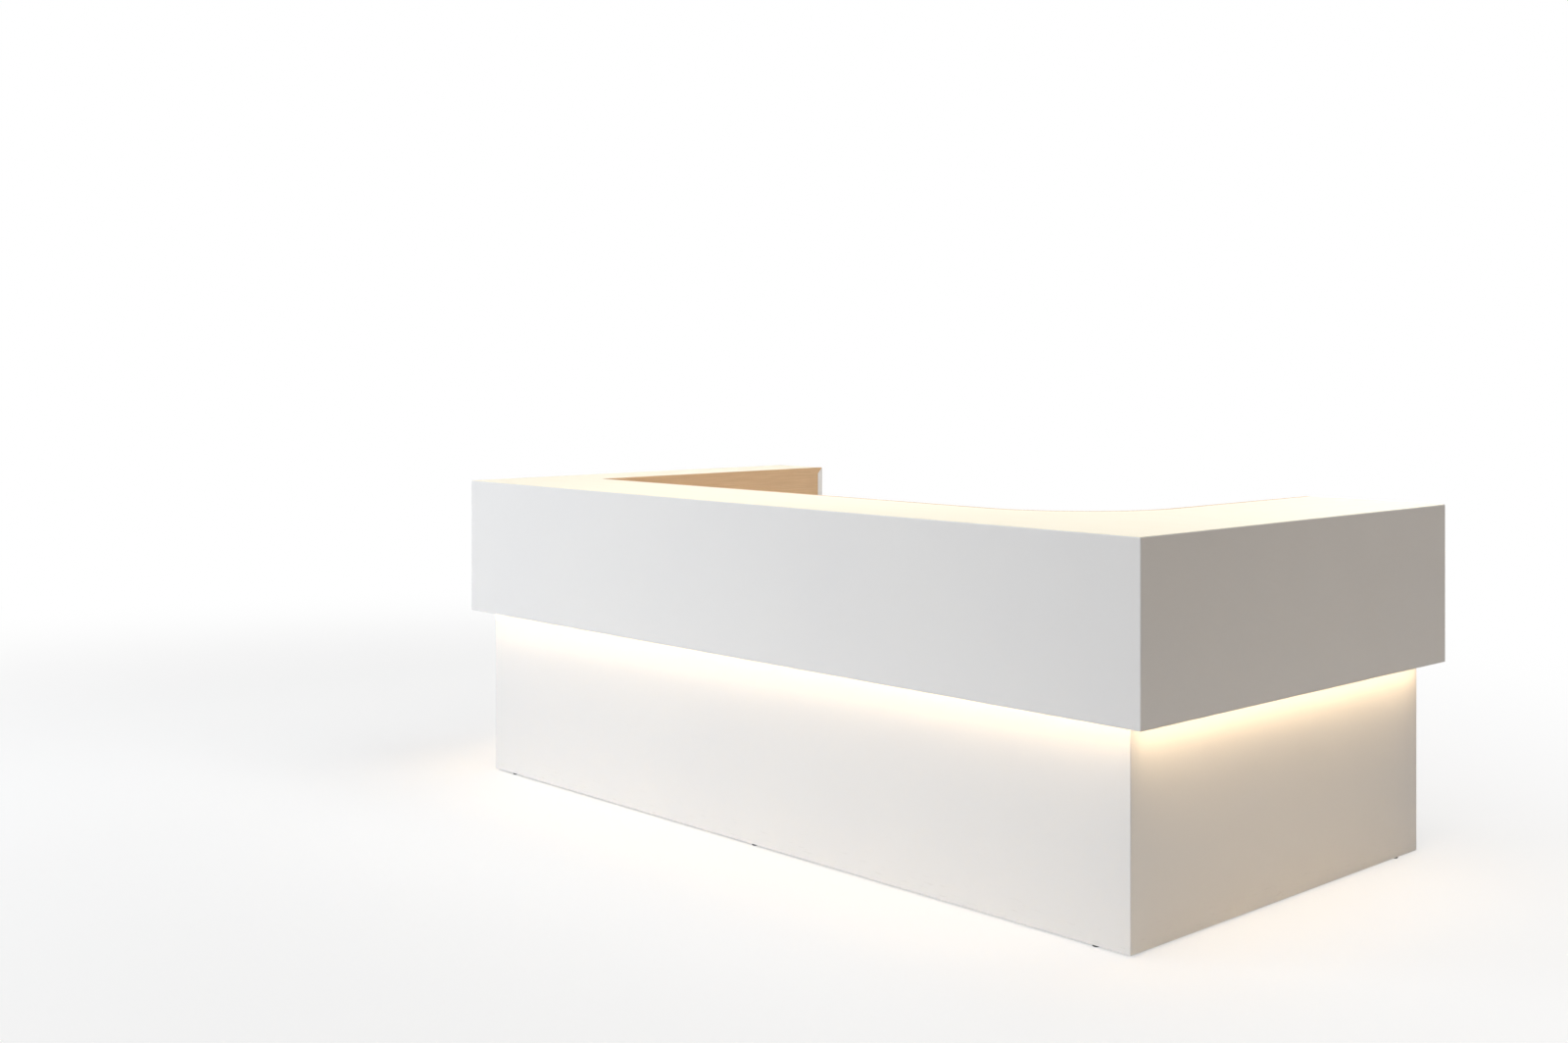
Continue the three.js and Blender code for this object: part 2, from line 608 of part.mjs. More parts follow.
function pedestalCarcass() {
  const top = WORK_UNDER - FIT;
  const kickFace = PEDESTAL_FRONT - PEDESTAL_KICK_RECESS;
  const under = PEDESTAL_KICK - CARCASS_BOARD;
  const space = [SPACE_LEFT, SPACE_RIGHT];
  const inside = PEDESTAL_BACK + CARCASS_BOARD;
  const mouth = PEDESTAL_FRONT + OVERCUT;
  const whole = [PEDESTAL_LEFT - OVERCUT, PEDESTAL_RIGHT + OVERCUT];
  const body = cut(
    block([PEDESTAL_LEFT, PEDESTAL_RIGHT], [PEDESTAL_BACK, PEDESTAL_FRONT], [0, top]),
    block(space, [inside, mouth], [PEDESTAL_KICK, top - CARCASS_BOARD]),
    block(whole, [kickFace, mouth], [-OVERCUT, under]),
    block(space, [inside, kickFace - CARCASS_BOARD], [-OVERCUT, under]),
  );
  add("pedestal_carcass", WHITE_LACQUER, body);
}
pedestalCarcass();

const LOCK_X = PEDESTAL_RIGHT - LOCK_FROM_SIDE;

// One drawer: the front, the box behind it and the two runners that it hangs on.
// z is the front's lower edge, and lockZ the height of its lock, if it has one.
function drawer(name, z, frontHeight, boxHeight, lockZ) {
  const y1 = PEDESTAL_FRONT;
  const y0 = y1 - DRAWER_LENGTH;
  const x0 = SPACE_LEFT + SIDE_CLEARANCE;
  const x1 = SPACE_RIGHT - SIDE_CLEARANCE;
  const z0 = z + DRAWER_RISE;
  const runnerZ = z0 + RUNNER_RISE;
  const slot = [runnerZ - RUNNER_HEIGHT / 2, runnerZ + RUNNER_HEIGHT / 2];
  const wall = DRAWER_WALL;
  const slots = [
    block([x0 - OVERCUT, x0 + RUNNER_BITE], [y0 - OVERCUT, y1 + OVERCUT], slot),
    block([x1 - RUNNER_BITE, x1 + OVERCUT], [y0 - OVERCUT, y1 + OVERCUT], slot),
  ];
  const rim = z0 + boxHeight;
  const hollow = block([x0 + wall, x1 - wall], [y0 + wall, y1 - wall], [z0 + DRAWER_FLOOR, rim + OVERCUT]);
  const box = block([x0, x1], [y0, y1], [z0, rim]);
  add(`drawer_box_${name}`, BIRCH_PLY, cut(box, hollow, ...slots));

  // In the front's own drawing, x is the height and y the depth behind the outer face.
  const panel = gripFront(frontHeight, PEDESTAL_WIDTH - 2 * FRONT_REVEAL);
  const left = PEDESTAL_LEFT + FRONT_REVEAL;
  const hole = bar(LOCK_RADIUS + LOCK_CLEARANCE, 0, 0, [-OVERCUT, CARCASS_BOARD + OVERCUT]);
  hole.rotateX(-Math.PI / 2).translate(lockZ - z, 0, LOCK_X - left);
  const front = lockZ ? cut(panel, hole) : panel;
  add(`drawer_front_${name}`, WHITE_LACQUER, front, [left, DRAWER_FACE, z], [Z, MINUS_Y, X]);

  const reach = SIDE_CLEARANCE + RUNNER_BITE - RUNNER_CLEARANCE;
  const half = RUNNER_HEIGHT / 2 - RUNNER_CLEARANCE;
  const nose = RUNNER_BITE / 2;
  const section = outline([[FIT, -half], [reach - nose, -half]]);
  section.quadraticCurveTo(reach, -half, reach, 0);
  section.quadraticCurveTo(reach, half, reach - nose, half);
  section.lineTo(FIT, half);
  const rail = extrude(section, RUNNER_LENGTH);
  const y = PEDESTAL_FRONT - RUNNER_FRONT;
  add(`runner_${name}_left`, PALE_PLASTIC, rail, [SPACE_LEFT, y, runnerZ], ELEVATION);
  add(`runner_${name}_right`, PALE_PLASTIC, rail, [SPACE_RIGHT, y - RUNNER_LENGTH, runnerZ], [MINUS_X, Z, Y]);
}

function lock(z) {
  const stem = bar(LOCK_RADIUS, 0, 0, [-LOCK_LENGTH, LOCK_FLANGE_THICKNESS]);
  const flange = bar(LOCK_RADIUS + LOCK_FLANGE, 0, 0, [FIT, LOCK_FLANGE_THICKNESS]);
  const deep = [0, LOCK_FLANGE_THICKNESS + OVERCUT];
  const keyway = block([-KEYWAY / 2, KEYWAY / 2], [-LOCK_RADIUS / 2, LOCK_RADIUS / 2], deep);
  const half = CAM_WIDTH / 2;
  const cam = block([-half, CAM_LENGTH], [-half, half], [-LOCK_LENGTH - CAM_THICKNESS, -LOCK_LENGTH]);
  const body = cut(join(stem, flange, cam), keyway);
  // Seen by the receptionist: the drawing's x runs to the left, its y upwards, its z out of the drawer.
  add("lock_barrel", BRIGHT_STEEL, body, [LOCK_X, DRAWER_FACE, z], [MINUS_X, Z, Y]);
}

function drawers() {
  const top = WORK_UNDER - GRIP_GAP - BOX_DRAWER_FRONT;
  const middle = top - GRIP_GAP - BOX_DRAWER_FRONT;
  const fileFront = middle - GRIP_GAP - PEDESTAL_KICK;
  const lockZ = top + BOX_DRAWER_FRONT - LOCK_FROM_TOP;
  drawer("top", top, BOX_DRAWER_FRONT, BOX_DRAWER_HEIGHT, lockZ);
  drawer("middle", middle, BOX_DRAWER_FRONT, BOX_DRAWER_HEIGHT);
  drawer("bottom", PEDESTAL_KICK, fileFront, FILE_DRAWER_HEIGHT);
  lock(lockZ);
}
drawers();

// Cupboard under the return's worktop, with two doors on pivots
const CUPBOARD_RIGHT = BASE_RIGHT - BOARD - FIT;
const CUPBOARD_SIDES = [PARTITION_BACK + FIT, BASE_BACK - BOARD - FIT];
const DOOR_SPAN = [CUPBOARD_SIDES[0] + HINGE_GAP, CUPBOARD_SIDES[1] - HINGE_GAP];
const DOOR_WIDTH = (DOOR_SPAN[1] - DOOR_SPAN[0] - GRIP_GAP) / 2;
const DOOR_BOTTOM = CUPBOARD_FLOOR + DOOR_GAP;
const DOOR_HEIGHT = WORK_UNDER - DOOR_GAP - DOOR_BOTTOM;

function cupboard() {
  const floor = CUPBOARD_FLOOR - CARCASS_BOARD;
  const width = [INNER_RIGHT, CUPBOARD_RIGHT];
  board("cupboard_floor", OAK_LAMINATE, width, CUPBOARD_SIDES, [floor, CUPBOARD_FLOOR]);
  const kick = INNER_RIGHT + KICK_RECESS;
  board("cupboard_kick", WHITE_LACQUER, [kick, kick + CARCASS_BOARD], CUPBOARD_SIDES, [0, floor - FIT]);
  const shelfFront = INNER_RIGHT + CARCASS_BOARD + SHELF_SETBACK;
  const shelf = [SHELF_HEIGHT, SHELF_HEIGHT + CARCASS_BOARD];
  board("cupboard_shelf", OAK_LAMINATE, [shelfFront, CUPBOARD_RIGHT], CUPBOARD_SIDES, shelf);
}
cupboard();

// A door is drawn from its pivot edge to its finger pull, and is bored for a pin at both ends.
function door(name, edge, axes, z) {
  const bore = PIVOT_PIN + PIVOT_CLEARANCE;
  const depth = PIVOT_PIN_LENGTH + PIVOT_END_ROOM;
  const x = PIVOT_FROM_EDGE;
  const y = CARCASS_BOARD / 2;
  const ends = [[-OVERCUT, depth], [DOOR_HEIGHT - depth, DOOR_HEIGHT + OVERCUT]];
  const holes = ends.map((span) => bar(bore, x, y, span));
  add(name, WHITE_LACQUER, cut(gripFront(DOOR_WIDTH, DOOR_HEIGHT), ...holes), [INNER_RIGHT, edge, z], axes);
}

function pivots(name, y, inwards) {
  const x = INNER_RIGHT + CARCASS_BOARD / 2;
  const width = [-PIVOT_PLATE_WIDTH / 2, PIVOT_PLATE_WIDTH / 2];
  const length = [-PIVOT_FROM_EDGE, PIVOT_PLATE_LENGTH - PIVOT_FROM_EDGE];
  const plate = block(width, length, [FIT, PIVOT_PLATE]);
  const pivot = join(plate, bar(PIVOT_PIN, 0, 0, [FIT, DOOR_GAP + PIVOT_PIN_LENGTH]));
  const across = inwards.clone().cross(Z);
  add(`${name}_lower`, BRIGHT_STEEL, pivot, [x, y, CUPBOARD_FLOOR], [across, inwards, Z]);
  add(`${name}_upper`, BRIGHT_STEEL, pivot, [x, y, WORK_UNDER], [across.clone().negate(), inwards, MINUS_Z]);
}

door("cupboard_door_front", DOOR_SPAN[0], [Y, X, MINUS_Z], DOOR_BOTTOM + DOOR_HEIGHT);
door("cupboard_door_back", DOOR_SPAN[1], [MINUS_Y, X, Z], DOOR_BOTTOM);
pivots("pivot_front", DOOR_SPAN[0] + PIVOT_FROM_EDGE, Y);
pivots("pivot_back", DOOR_SPAN[1] - PIVOT_FROM_EDGE, MINUS_Y);

export default desk;
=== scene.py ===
# %% [markdown]
# # A reception desk, dressed piece by piece
# The desk is already built to size as a set of plain solids, one for each board and fitting.
# This lesson loads those solids as a fixed frame and gives each of them the form and finish that
# a joiner's eye expects: eased edges, mitred corners, laminate, a warm light in the shadow gap.

# %% Load the frame
import math

import bmesh
import bpy
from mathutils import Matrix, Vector


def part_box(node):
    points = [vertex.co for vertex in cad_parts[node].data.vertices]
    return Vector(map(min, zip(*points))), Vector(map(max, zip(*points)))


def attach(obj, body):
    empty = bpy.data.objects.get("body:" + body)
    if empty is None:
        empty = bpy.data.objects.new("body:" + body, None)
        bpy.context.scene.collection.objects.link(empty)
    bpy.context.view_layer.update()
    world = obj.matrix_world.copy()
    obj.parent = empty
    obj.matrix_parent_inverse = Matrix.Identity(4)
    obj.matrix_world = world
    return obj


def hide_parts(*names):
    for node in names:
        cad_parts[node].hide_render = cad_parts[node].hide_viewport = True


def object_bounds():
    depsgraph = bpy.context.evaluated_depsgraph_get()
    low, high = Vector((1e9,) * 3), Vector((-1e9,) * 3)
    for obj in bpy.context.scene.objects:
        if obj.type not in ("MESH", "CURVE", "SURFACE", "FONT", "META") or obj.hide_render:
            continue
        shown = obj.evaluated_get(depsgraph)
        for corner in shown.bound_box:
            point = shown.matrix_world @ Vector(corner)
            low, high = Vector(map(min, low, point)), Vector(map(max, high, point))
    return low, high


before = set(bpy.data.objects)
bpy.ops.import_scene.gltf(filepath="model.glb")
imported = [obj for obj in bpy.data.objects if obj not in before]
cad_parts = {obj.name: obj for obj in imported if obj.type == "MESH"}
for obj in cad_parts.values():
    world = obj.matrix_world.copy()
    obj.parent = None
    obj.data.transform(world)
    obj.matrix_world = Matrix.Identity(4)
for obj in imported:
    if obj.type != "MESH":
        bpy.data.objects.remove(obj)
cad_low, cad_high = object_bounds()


def rounded(sizes):
    return [round(size, 4) for size in sizes]


bpy.ops.object.select_all(action="DESELECT")
print("solids:", len(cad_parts), "overall:", rounded(cad_high - cad_low))

# %% [markdown]
# ## The camera
# The visitor looks at the right-hand corner of the desk from about eye height. The picture's
# verticals are parallel, so the camera is level and the picture is shifted down instead of tilted.
# The place and the focal length come from fitting the desk's corners to the picture.

# %% Stand where the visitor stands
PICTURE_WIDTH = 1600
FOCAL_LENGTH = 1812.2  # in pixels of the picture
SENSOR = 36.0
EYE = (4.251, -4.518, 1.528)
HEADING = math.radians(47.356)
HORIZON_ABOVE_MIDDLE = 156.3  # in pixels

bpy.ops.object.camera_add(location=EYE, rotation=(math.radians(90), 0, HEADING))
camera = bpy.context.object
camera.name = "visitor_eye"
camera.data.sensor_width = SENSOR
camera.data.lens = SENSOR * FOCAL_LENGTH / PICTURE_WIDTH
camera.data.shift_y = -HORIZON_ABOVE_MIDDLE / PICTURE_WIDTH
bpy.context.scene.camera = camera
bpy.context.scene.view_settings.view_transform = "Standard"
print("lens", round(camera.data.lens, 2), "mm")

# %% [markdown]
# ## Finishes are small node trees
# A finish starts as Blender's Principled shader. Patterns read Object coordinates: every piece sits
# at the origin with its place in its mesh, so one metre in the pattern is one metre on the desk and
# neighbouring boards never show the same patch. These helpers keep each tree readable.

# %% Start a finish
def start_finish(name, roughness, metallic=0.0, specular=0.5):
    finish = bpy.data.materials.new(name)
    finish.use_nodes = True
    shader = finish.node_tree.nodes["Principled BSDF"]
    shader.inputs["Roughness"].default_value = roughness
    shader.inputs["Metallic"].default_value = metallic
    shader.inputs["Specular IOR Level"].default_value = specular
    return finish, finish.node_tree, shader


def add_node(tree, kind, values=None, **settings):
    node = tree.nodes.new(kind)
    for key, value in settings.items():
        setattr(node, key, value)
    for socket, value in (values or {}).items():
        if isinstance(value, bpy.types.NodeSocket):
            tree.links.new(value, node.inputs[socket])
        else:
            node.inputs[socket].default_value = value
    return node


print("finishes can start")

# %% Patterns and colours
MIX_FACTOR, MIX_A, MIX_B, MIX_RESULT = 0, 6, 7, 2  # colour sockets of the Mix node


def place_on(tree, scale=(1, 1, 1), own_places=None):
    if own_places:
        place = add_node(tree, "ShaderNodeAttribute", attribute_name=own_places).outputs["Vector"]
    else:
        place = add_node(tree, "ShaderNodeTexCoord").outputs["Object"]
    values = {"Vector": place, "Scale": scale}
    return add_node(tree, "ShaderNodeMapping", values).outputs["Vector"]


def noise(tree, place, scale, detail=2.0, roughness=0.5, distortion=0.0):
    values = {"Vector": place, "Scale": scale, "Detail": detail}
    values.update({"Roughness": roughness, "Distortion": distortion})
    return add_node(tree, "ShaderNodeTexNoise", values).outputs["Fac"]


def level(tree, value, start, end, low=0.0, high=1.0, how="LINEAR"):
    values = {"Value": value, "From Min": start, "From Max": end, "To Min": low, "To Max": high}
    return add_node(tree, "ShaderNodeMapRange", values, interpolation_type=how).outputs["Result"]


def maths(tree, how, first, second):
    return add_node(tree, "ShaderNodeMath", {0: first, 1: second}, operation=how).outputs[0]


def mix(tree, factor, first, second):
    values = {MIX_FACTOR: factor, MIX_A: first, MIX_B: second}
    return add_node(tree, "ShaderNodeMix", values, data_type="RGBA").outputs[MIX_RESULT]


print("patterns ready")

# %% Onto the shader
def paint(tree, shader, colour, roughness=None):
    tree.links.new(colour, shader.inputs["Base Color"])
    if roughness is not None:
        tree.links.new(roughness, shader.inputs["Roughness"])


def relief(tree, shader, height, strength, depth):
    values = {"Height": height, "Strength": strength, "Distance": depth}
    bump = add_node(tree, "ShaderNodeBump", values)
    tree.links.new(bump.outputs["Normal"], shader.inputs["Normal"])


print("paint and relief ready")

# %% [markdown]
# ## White lacquer
# The outside is sprayed board. Lacquer is never perfectly even: it has a very fine orange peel, the
# sheen drifts a little from place to place, and shoes leave faint grey marks near the floor.
# All of it is far below what a picture texture could hold over three metres, so noise makes it.

# %% White lacquer
COOL_WHITE, WARM_WHITE = (0.835, 0.835, 0.84, 1), (0.865, 0.862, 0.855, 1)
SCUFF, SCUFF_HEIGHT = (0.66, 0.65, 0.63, 1), 0.09
PEEL = 420.0  # scale of the orange peel


def sprayed_white():
    finish, tree, shader = start_finish("sprayed_white", 0.4, specular=0.45)
    place = place_on(tree)
    white = mix(tree, noise(tree, place, 2.2, detail=3.0), COOL_WHITE, WARM_WHITE)
    height = add_node(tree, "ShaderNodeSeparateXYZ", {"Vector": place}).outputs["Z"]
    near_floor = level(tree, height, 0.0, SCUFF_HEIGHT, 1.0, 0.0)
    streaks = noise(tree, place_on(tree, (5, 5, 42)), 3.0, detail=6.0, roughness=0.7)
    scuffed = maths(tree, "MULTIPLY", near_floor, level(tree, streaks, 0.58, 0.78))
    sheen = level(tree, noise(tree, place, 7.0, detail=4.0), 0.3, 0.7, 0.34, 0.44)
    paint(tree, shader, mix(tree, scuffed, white, SCUFF), sheen)
    relief(tree, shader, noise(tree, place, PEEL, detail=1.0), 0.06, 0.0004)
    return finish


SPRAYED_WHITE = sprayed_white()
print("finish:", SPRAYED_WHITE.name)

# %% [markdown]
# ## Laminates
# The counter is a pale cream maple, and the staff side is light oak. Both are printed papers under
# resin, so they are flat and even, with the look of wood: long fibres, slow changes of tone and, in
# oak, short dark pores. The pattern is noise stretched a long way along the grain. A board's grain
# follows its length, so the stretch takes the direction as an argument. One edge is bent round a
# corner; its grain reads an attribute of that piece, which says where each point was before.

# %% A laminate
RINGS = 9.0  # how often the slow tone turns back on itself


def laminate(name, along, pale, dark, pore, pore_share, sheen, own_places=None):
    finish, tree, shader = start_finish(name, sheen, specular=0.3)
    slow = tuple(v ** 0.55 for v in along)
    short = tuple(2.6 if v == 1 else 11.0 * v for v in along)
    fibres = noise(tree, place_on(tree, along, own_places), 4.6, 7.0, 0.62, distortion=0.25)
    waves = noise(tree, place_on(tree, slow, own_places), 1.7, 3.0, distortion=1.1)
    specks = noise(tree, place_on(tree, short, own_places), 6.0)
    rings = maths(tree, "PINGPONG", maths(tree, "MULTIPLY", waves, RINGS), 1.0)
    tone = mix(tree, level(tree, fibres, 0.32, 0.7), pale, dark)
    tone = mix(tree, level(tree, rings, 0.0, 1.0, 0.0, 0.32), tone, dark)
    tone = mix(tree, level(tree, specks, 0.62, 0.7, 0.0, pore_share), tone, pore)
    paint(tree, shader, tone, level(tree, fibres, 0.3, 0.7, sheen - 0.05, sheen + 0.07))
    relief(tree, shader, fibres, 0.05, 0.0003)
    return finish


print("laminate ready")

# %% Oak and cream
ALONG_X, ALONG_Y, ALONG_Z = (1, 34, 34), (34, 1, 34), (34, 34, 1)
UNBENT = "unbent_place"
# Each line: the pale tone, the dark tone, the pores, how much they show, and the roughness.
OAK = (0.77, 0.545, 0.335, 1), (0.65, 0.44, 0.26, 1), (0.46, 0.29, 0.155, 1), 0.42, 0.5
OAK_EDGE = (0.70, 0.485, 0.295, 1), (0.58, 0.385, 0.225, 1), (0.42, 0.265, 0.145, 1), 0.3, 0.45
CREAM = (0.955, 0.905, 0.765, 1), (0.93, 0.865, 0.705, 1), (0.86, 0.77, 0.58, 1), 0.18, 0.55

OAK_X = laminate("oak_long", ALONG_X, *OAK)
OAK_Y = laminate("oak_deep", ALONG_Y, *OAK)
OAK_Z = laminate("oak_upright", ALONG_Z, *OAK)
EDGE_X = laminate("oak_edge_long", ALONG_X, *OAK_EDGE)
EDGE_Y = laminate("oak_edge_deep", ALONG_Y, *OAK_EDGE)
EDGE_Z = laminate("oak_edge_upright", ALONG_Z, *OAK_EDGE)
EDGE_BENT = laminate("oak_edge_bent", ALONG_X, *OAK_EDGE, UNBENT)
CREAM_X = laminate("cream_long", ALONG_X, *CREAM)
CREAM_Y = laminate("cream_deep", ALONG_Y, *CREAM)
print("finishes so far:", [item.name for item in bpy.data.materials])

# %% [markdown]
# ## Plywood, plastics and metals
# The drawer boxes are birch ply: pale faces, and striped edges where the veneers show. The small
# fittings are moulded plastic, powder-coated sheet and brushed steel. Each is one shader with a
# grain of its own size, so that they part from one another even in the same light.

# %% Plywood
VENEERS = 210.0  # scale of the waves, which gives a stripe for each 1.5 mm


def birch_face(name, along):
    finish, tree, shader = start_finish(name, 0.48)
    fibres = noise(tree, place_on(tree, along), 3.0, 5.0, 0.6, distortion=0.4)
    pale, dark = (0.73, 0.60, 0.44, 1), (0.62, 0.48, 0.32, 1)
    paint(tree, shader, mix(tree, level(tree, fibres, 0.3, 0.72), pale, dark))
    relief(tree, shader, fibres, 0.08, 0.0003)
    return finish


def birch_edge(name, across):
    finish, tree, shader = start_finish(name, 0.6)
    values = {"Vector": place_on(tree), "Scale": VENEERS, "Distortion": 0.6, "Detail": 2.0}
    veneers = add_node(tree, "ShaderNodeTexWave", values, bands_direction=across).outputs["Fac"]
    pale, dark = (0.66, 0.52, 0.36, 1), (0.36, 0.245, 0.14, 1)
    paint(tree, shader, mix(tree, level(tree, veneers, 0.35, 0.65), pale, dark))
    return finish


BIRCH_X, BIRCH_Y = birch_face("birch_long", (2, 30, 30)), birch_face("birch_deep", (30, 2, 30))
BIRCH_EDGE_X, BIRCH_EDGE_Y = birch_edge("birch_edge_x", "X"), birch_edge("birch_edge_y", "Y")
print("finishes:", [item.name for item in (BIRCH_X, BIRCH_Y, BIRCH_EDGE_X, BIRCH_EDGE_Y)])

# %% Plastics and metals
def moulded(name, low, high, roughness, grain):
    finish, tree, shader = start_finish(name, roughness)
    place = place_on(tree)
    paint(tree, shader, mix(tree, noise(tree, place, 60.0, detail=3.0), low, high))
    relief(tree, shader, noise(tree, place, grain), 0.12, 0.0002)
    return finish


def brushed(name, along, low, high):
    finish, tree, shader = start_finish(name, 0.3, metallic=1.0)
    lines = noise(tree, place_on(tree, along), 60.0, 3.0, 0.6)
    paint(tree, shader, mix(tree, lines, low, high), level(tree, lines, 0.2, 0.8, 0.24, 0.4))
    return finish


GRAPHITE_LOW, GRAPHITE_HIGH = (0.022, 0.022, 0.024, 1), (0.034, 0.034, 0.036, 1)
GRAPHITE_MOULDING = moulded("graphite_moulding", GRAPHITE_LOW, GRAPHITE_HIGH, 0.5, 900.0)
PALE_MOULDING = moulded("pale_moulding", (0.72, 0.71, 0.67, 1), (0.77, 0.76, 0.72, 1), 0.42, 700.0)
POWDER_COAT = moulded("powder_coat", (0.45, 0.46, 0.47, 1), (0.51, 0.52, 0.53, 1), 0.5, 1400.0)
BRUSHED_STEEL = brushed("brushed_steel", (4, 60, 60), (0.52, 0.52, 0.53, 1), (0.64, 0.64, 0.65, 1))
print("finishes:", GRAPHITE_MOULDING.name, PALE_MOULDING.name, POWDER_COAT.name, BRUSHED_STEEL.name)

# %% [markdown]
# ## The light strip's silicone
# Opal silicone hides the single diodes, but from close by they still show as a gentle beat along
# the strip. A wave along both directions drives the glow, so one finish serves all three strips.
# It only has to look lit: what falls on the base comes from lamps, which are added with the strips.

# %% Opal silicone
DIODE_PITCH = 1 / 30
WAVE_PERIOD = 0.628  # of diagonal waves at a scale of 1
GLOW = (1.0, 0.725, 0.43, 1)
GLOW_STRENGTH, BEAT = 5.0, 0.12


def opal_silicone():
    finish, tree, shader = start_finish("opal_silicone", 0.35)
    shader.inputs["Base Color"].default_value = (0.94, 0.92, 0.86, 1)
    shader.inputs["Emission Color"].default_value = GLOW
    values = {"Vector": place_on(tree), "Scale": WAVE_PERIOD / DIODE_PITCH, "Distortion": 0.0}
    diodes = add_node(tree, "ShaderNodeTexWave", values, bands_direction="DIAGONAL").outputs["Fac"]
    weak, strong = (1 - BEAT) * GLOW_STRENGTH, (1 + BEAT) * GLOW_STRENGTH
    tree.links.new(level(tree, diodes, 0.0, 1.0, weak, strong), shader.inputs["Emission Strength"])
    return finish


OPAL_SILICONE = opal_silicone()
print("finish:", OPAL_SILICONE.name)

# %% [markdown]
# ## Floor and light
# The studio is a pale floor and soft light. A broad lamp and a window stand on the visitor's left.
# A softbox and a narrow desk lamp hang over the staff side, a second window stands behind it, and a
# weak, warm lobby lamp reaches the right-hand side. The room itself is dim. The white lacquer takes
# half of its light from the floor, so the floor that the light sees is pale near the desk and dark
# further off. The camera sees it fade into a white backdrop, still with the desk's shadow.

# %% The floor
FLOOR_SIZE, FLOOR_DROP = 160, 0.0006
BACKDROP = (1.0, 1.0, 1.0, 1)
FLOOR_SEEN = (0.95, 0.95, 0.95, 1)
NEAR_BOUNCE, FAR_BOUNCE = (0.86, 0.85, 0.83, 1), (0.46, 0.43, 0.40, 1)
BRIGHT_MIDDLE = (-1.0, -0.9, 0)  # the visitor's side is the paler one
NEAR_END, FAR_START = 2.4, 4.5  # metres from there
FADE_START, FADE_END, NEAR_FADE = 0.5, 6.5, 0.45


def seen_rays(tree):
    rays = add_node(tree, "ShaderNodeLightPath").outputs
    seen = maths(tree, "MAXIMUM", rays["Is Camera Ray"], rays["Is Glossy Ray"])
    return maths(tree, "MAXIMUM", seen, rays["Is Transmission Ray"])


def show(tree, output, share, first, second):
    values = {0: share, 1: first.outputs[0], 2: second.outputs[0]}
    blend = add_node(tree, "ShaderNodeMixShader", values)
    tree.links.new(blend.outputs[0], tree.nodes[output].inputs["Surface"])


bpy.ops.mesh.primitive_plane_add(size=FLOOR_SIZE, location=(0, 0, -FLOOR_DROP))
floor = bpy.context.object
floor.name = "studio_floor"
finish, tree, shader = start_finish("studio_floor", 0.9, specular=0.1)
seen = seen_rays(tree)
values = {0: place_on(tree), 1: BRIGHT_MIDDLE}
away = add_node(tree, "ShaderNodeVectorMath", values, operation="DISTANCE").outputs["Value"]
bounce = mix(tree, level(tree, away, NEAR_END, FAR_START), NEAR_BOUNCE, FAR_BOUNCE)
paint(tree, shader, mix(tree, seen, bounce, FLOOR_SEEN))
fade = level(tree, away, FADE_START, FADE_END, NEAR_FADE, 1.0, "SMOOTHERSTEP")
backdrop = add_node(tree, "ShaderNodeEmission", {"Color": BACKDROP})
show(tree, "Material Output", maths(tree, "MULTIPLY", fade, seen), shader, backdrop)
floor.data.materials.append(finish)
print("floor:", floor.name)

# %% Lamps and room
ROOM_COLOUR, ROOM_STRENGTH = (1.0, 0.91, 0.82, 1), 0.17
DAYLIGHT = (0.91, 0.952, 1.0)


def lamp(name, kind, energy, place, target, size, colour, spread=180):
    aim = (Vector(target) - Vector(place)).to_track_quat("-Z", "Y").to_euler()
    bpy.ops.object.light_add(type=kind, location=place, rotation=aim)
    light = bpy.context.object
    light.name = light.data.name = name
    light.data.energy, light.data.color = energy, colour
    if kind == "SUN":
        light.data.angle = size
    else:
        light.data.shape = "RECTANGLE"
        light.data.size, light.data.size_y = size
        light.data.spread = math.radians(spread)
        light.visible_camera = False


lamp("broad_lamp", "SUN", 0.92, (0.4, -7.5, 5.6), (0, 0, 0), math.radians(50), DAYLIGHT)
lamp("window", "AREA", 190.0, (-3.8, -5.2, 4.2), (0, -0.8, 0.7), (3.0, 3.0), DAYLIGHT)
lamp("softbox", "AREA", 74.0, (0.8, 0.3, 4.6), (0.0, 0.0, 0.9), (2.2, 2.2), (1.0, 0.98, 0.94))
lamp("desk_lamp", "AREA", 4.7, (1.3, 0.6, 3.3), (-1.3, 0.2, 0.8), (0.8, 0.8), (1.0, 0.95, 0.88), 70)
lamp("back_window", "AREA", 90.0, (-0.6, 6.0, 3.6), (0, 0.4, 0.5), (3.0, 3.0), (0.95, 0.97, 1.0))
lamp("lobby_lamp", "AREA", 17.0, (5.5, 0.3, 2.4), (1.55, 0, 0.6), (2.0, 2.0), (1.0, 0.80, 0.58))

room = bpy.data.worlds.new("studio_room")
bpy.context.scene.world = room
room.use_nodes = True
dim = room.node_tree.nodes["Background"]
dim.inputs["Color"].default_value = ROOM_COLOUR
dim.inputs["Strength"].default_value = ROOM_STRENGTH
white = add_node(room.node_tree, "ShaderNodeBackground", {"Color": BACKDROP})
show(room.node_tree, "World Output", seen_rays(room.node_tree), dim, white)
print("lamps:", [item.name for item in bpy.data.lights])

# %% [markdown]
# ## Modelling by hand, in code
# Each piece starts as a primitive at its size and place. Then faces and edges are picked by where
# they lie, and the usual edit-mode tools shape them. The first helpers are motions that a modeller
# repeats all day: block out, pick, round, cut, slice, copy and hand over. The others are written
# where a piece first needs them.

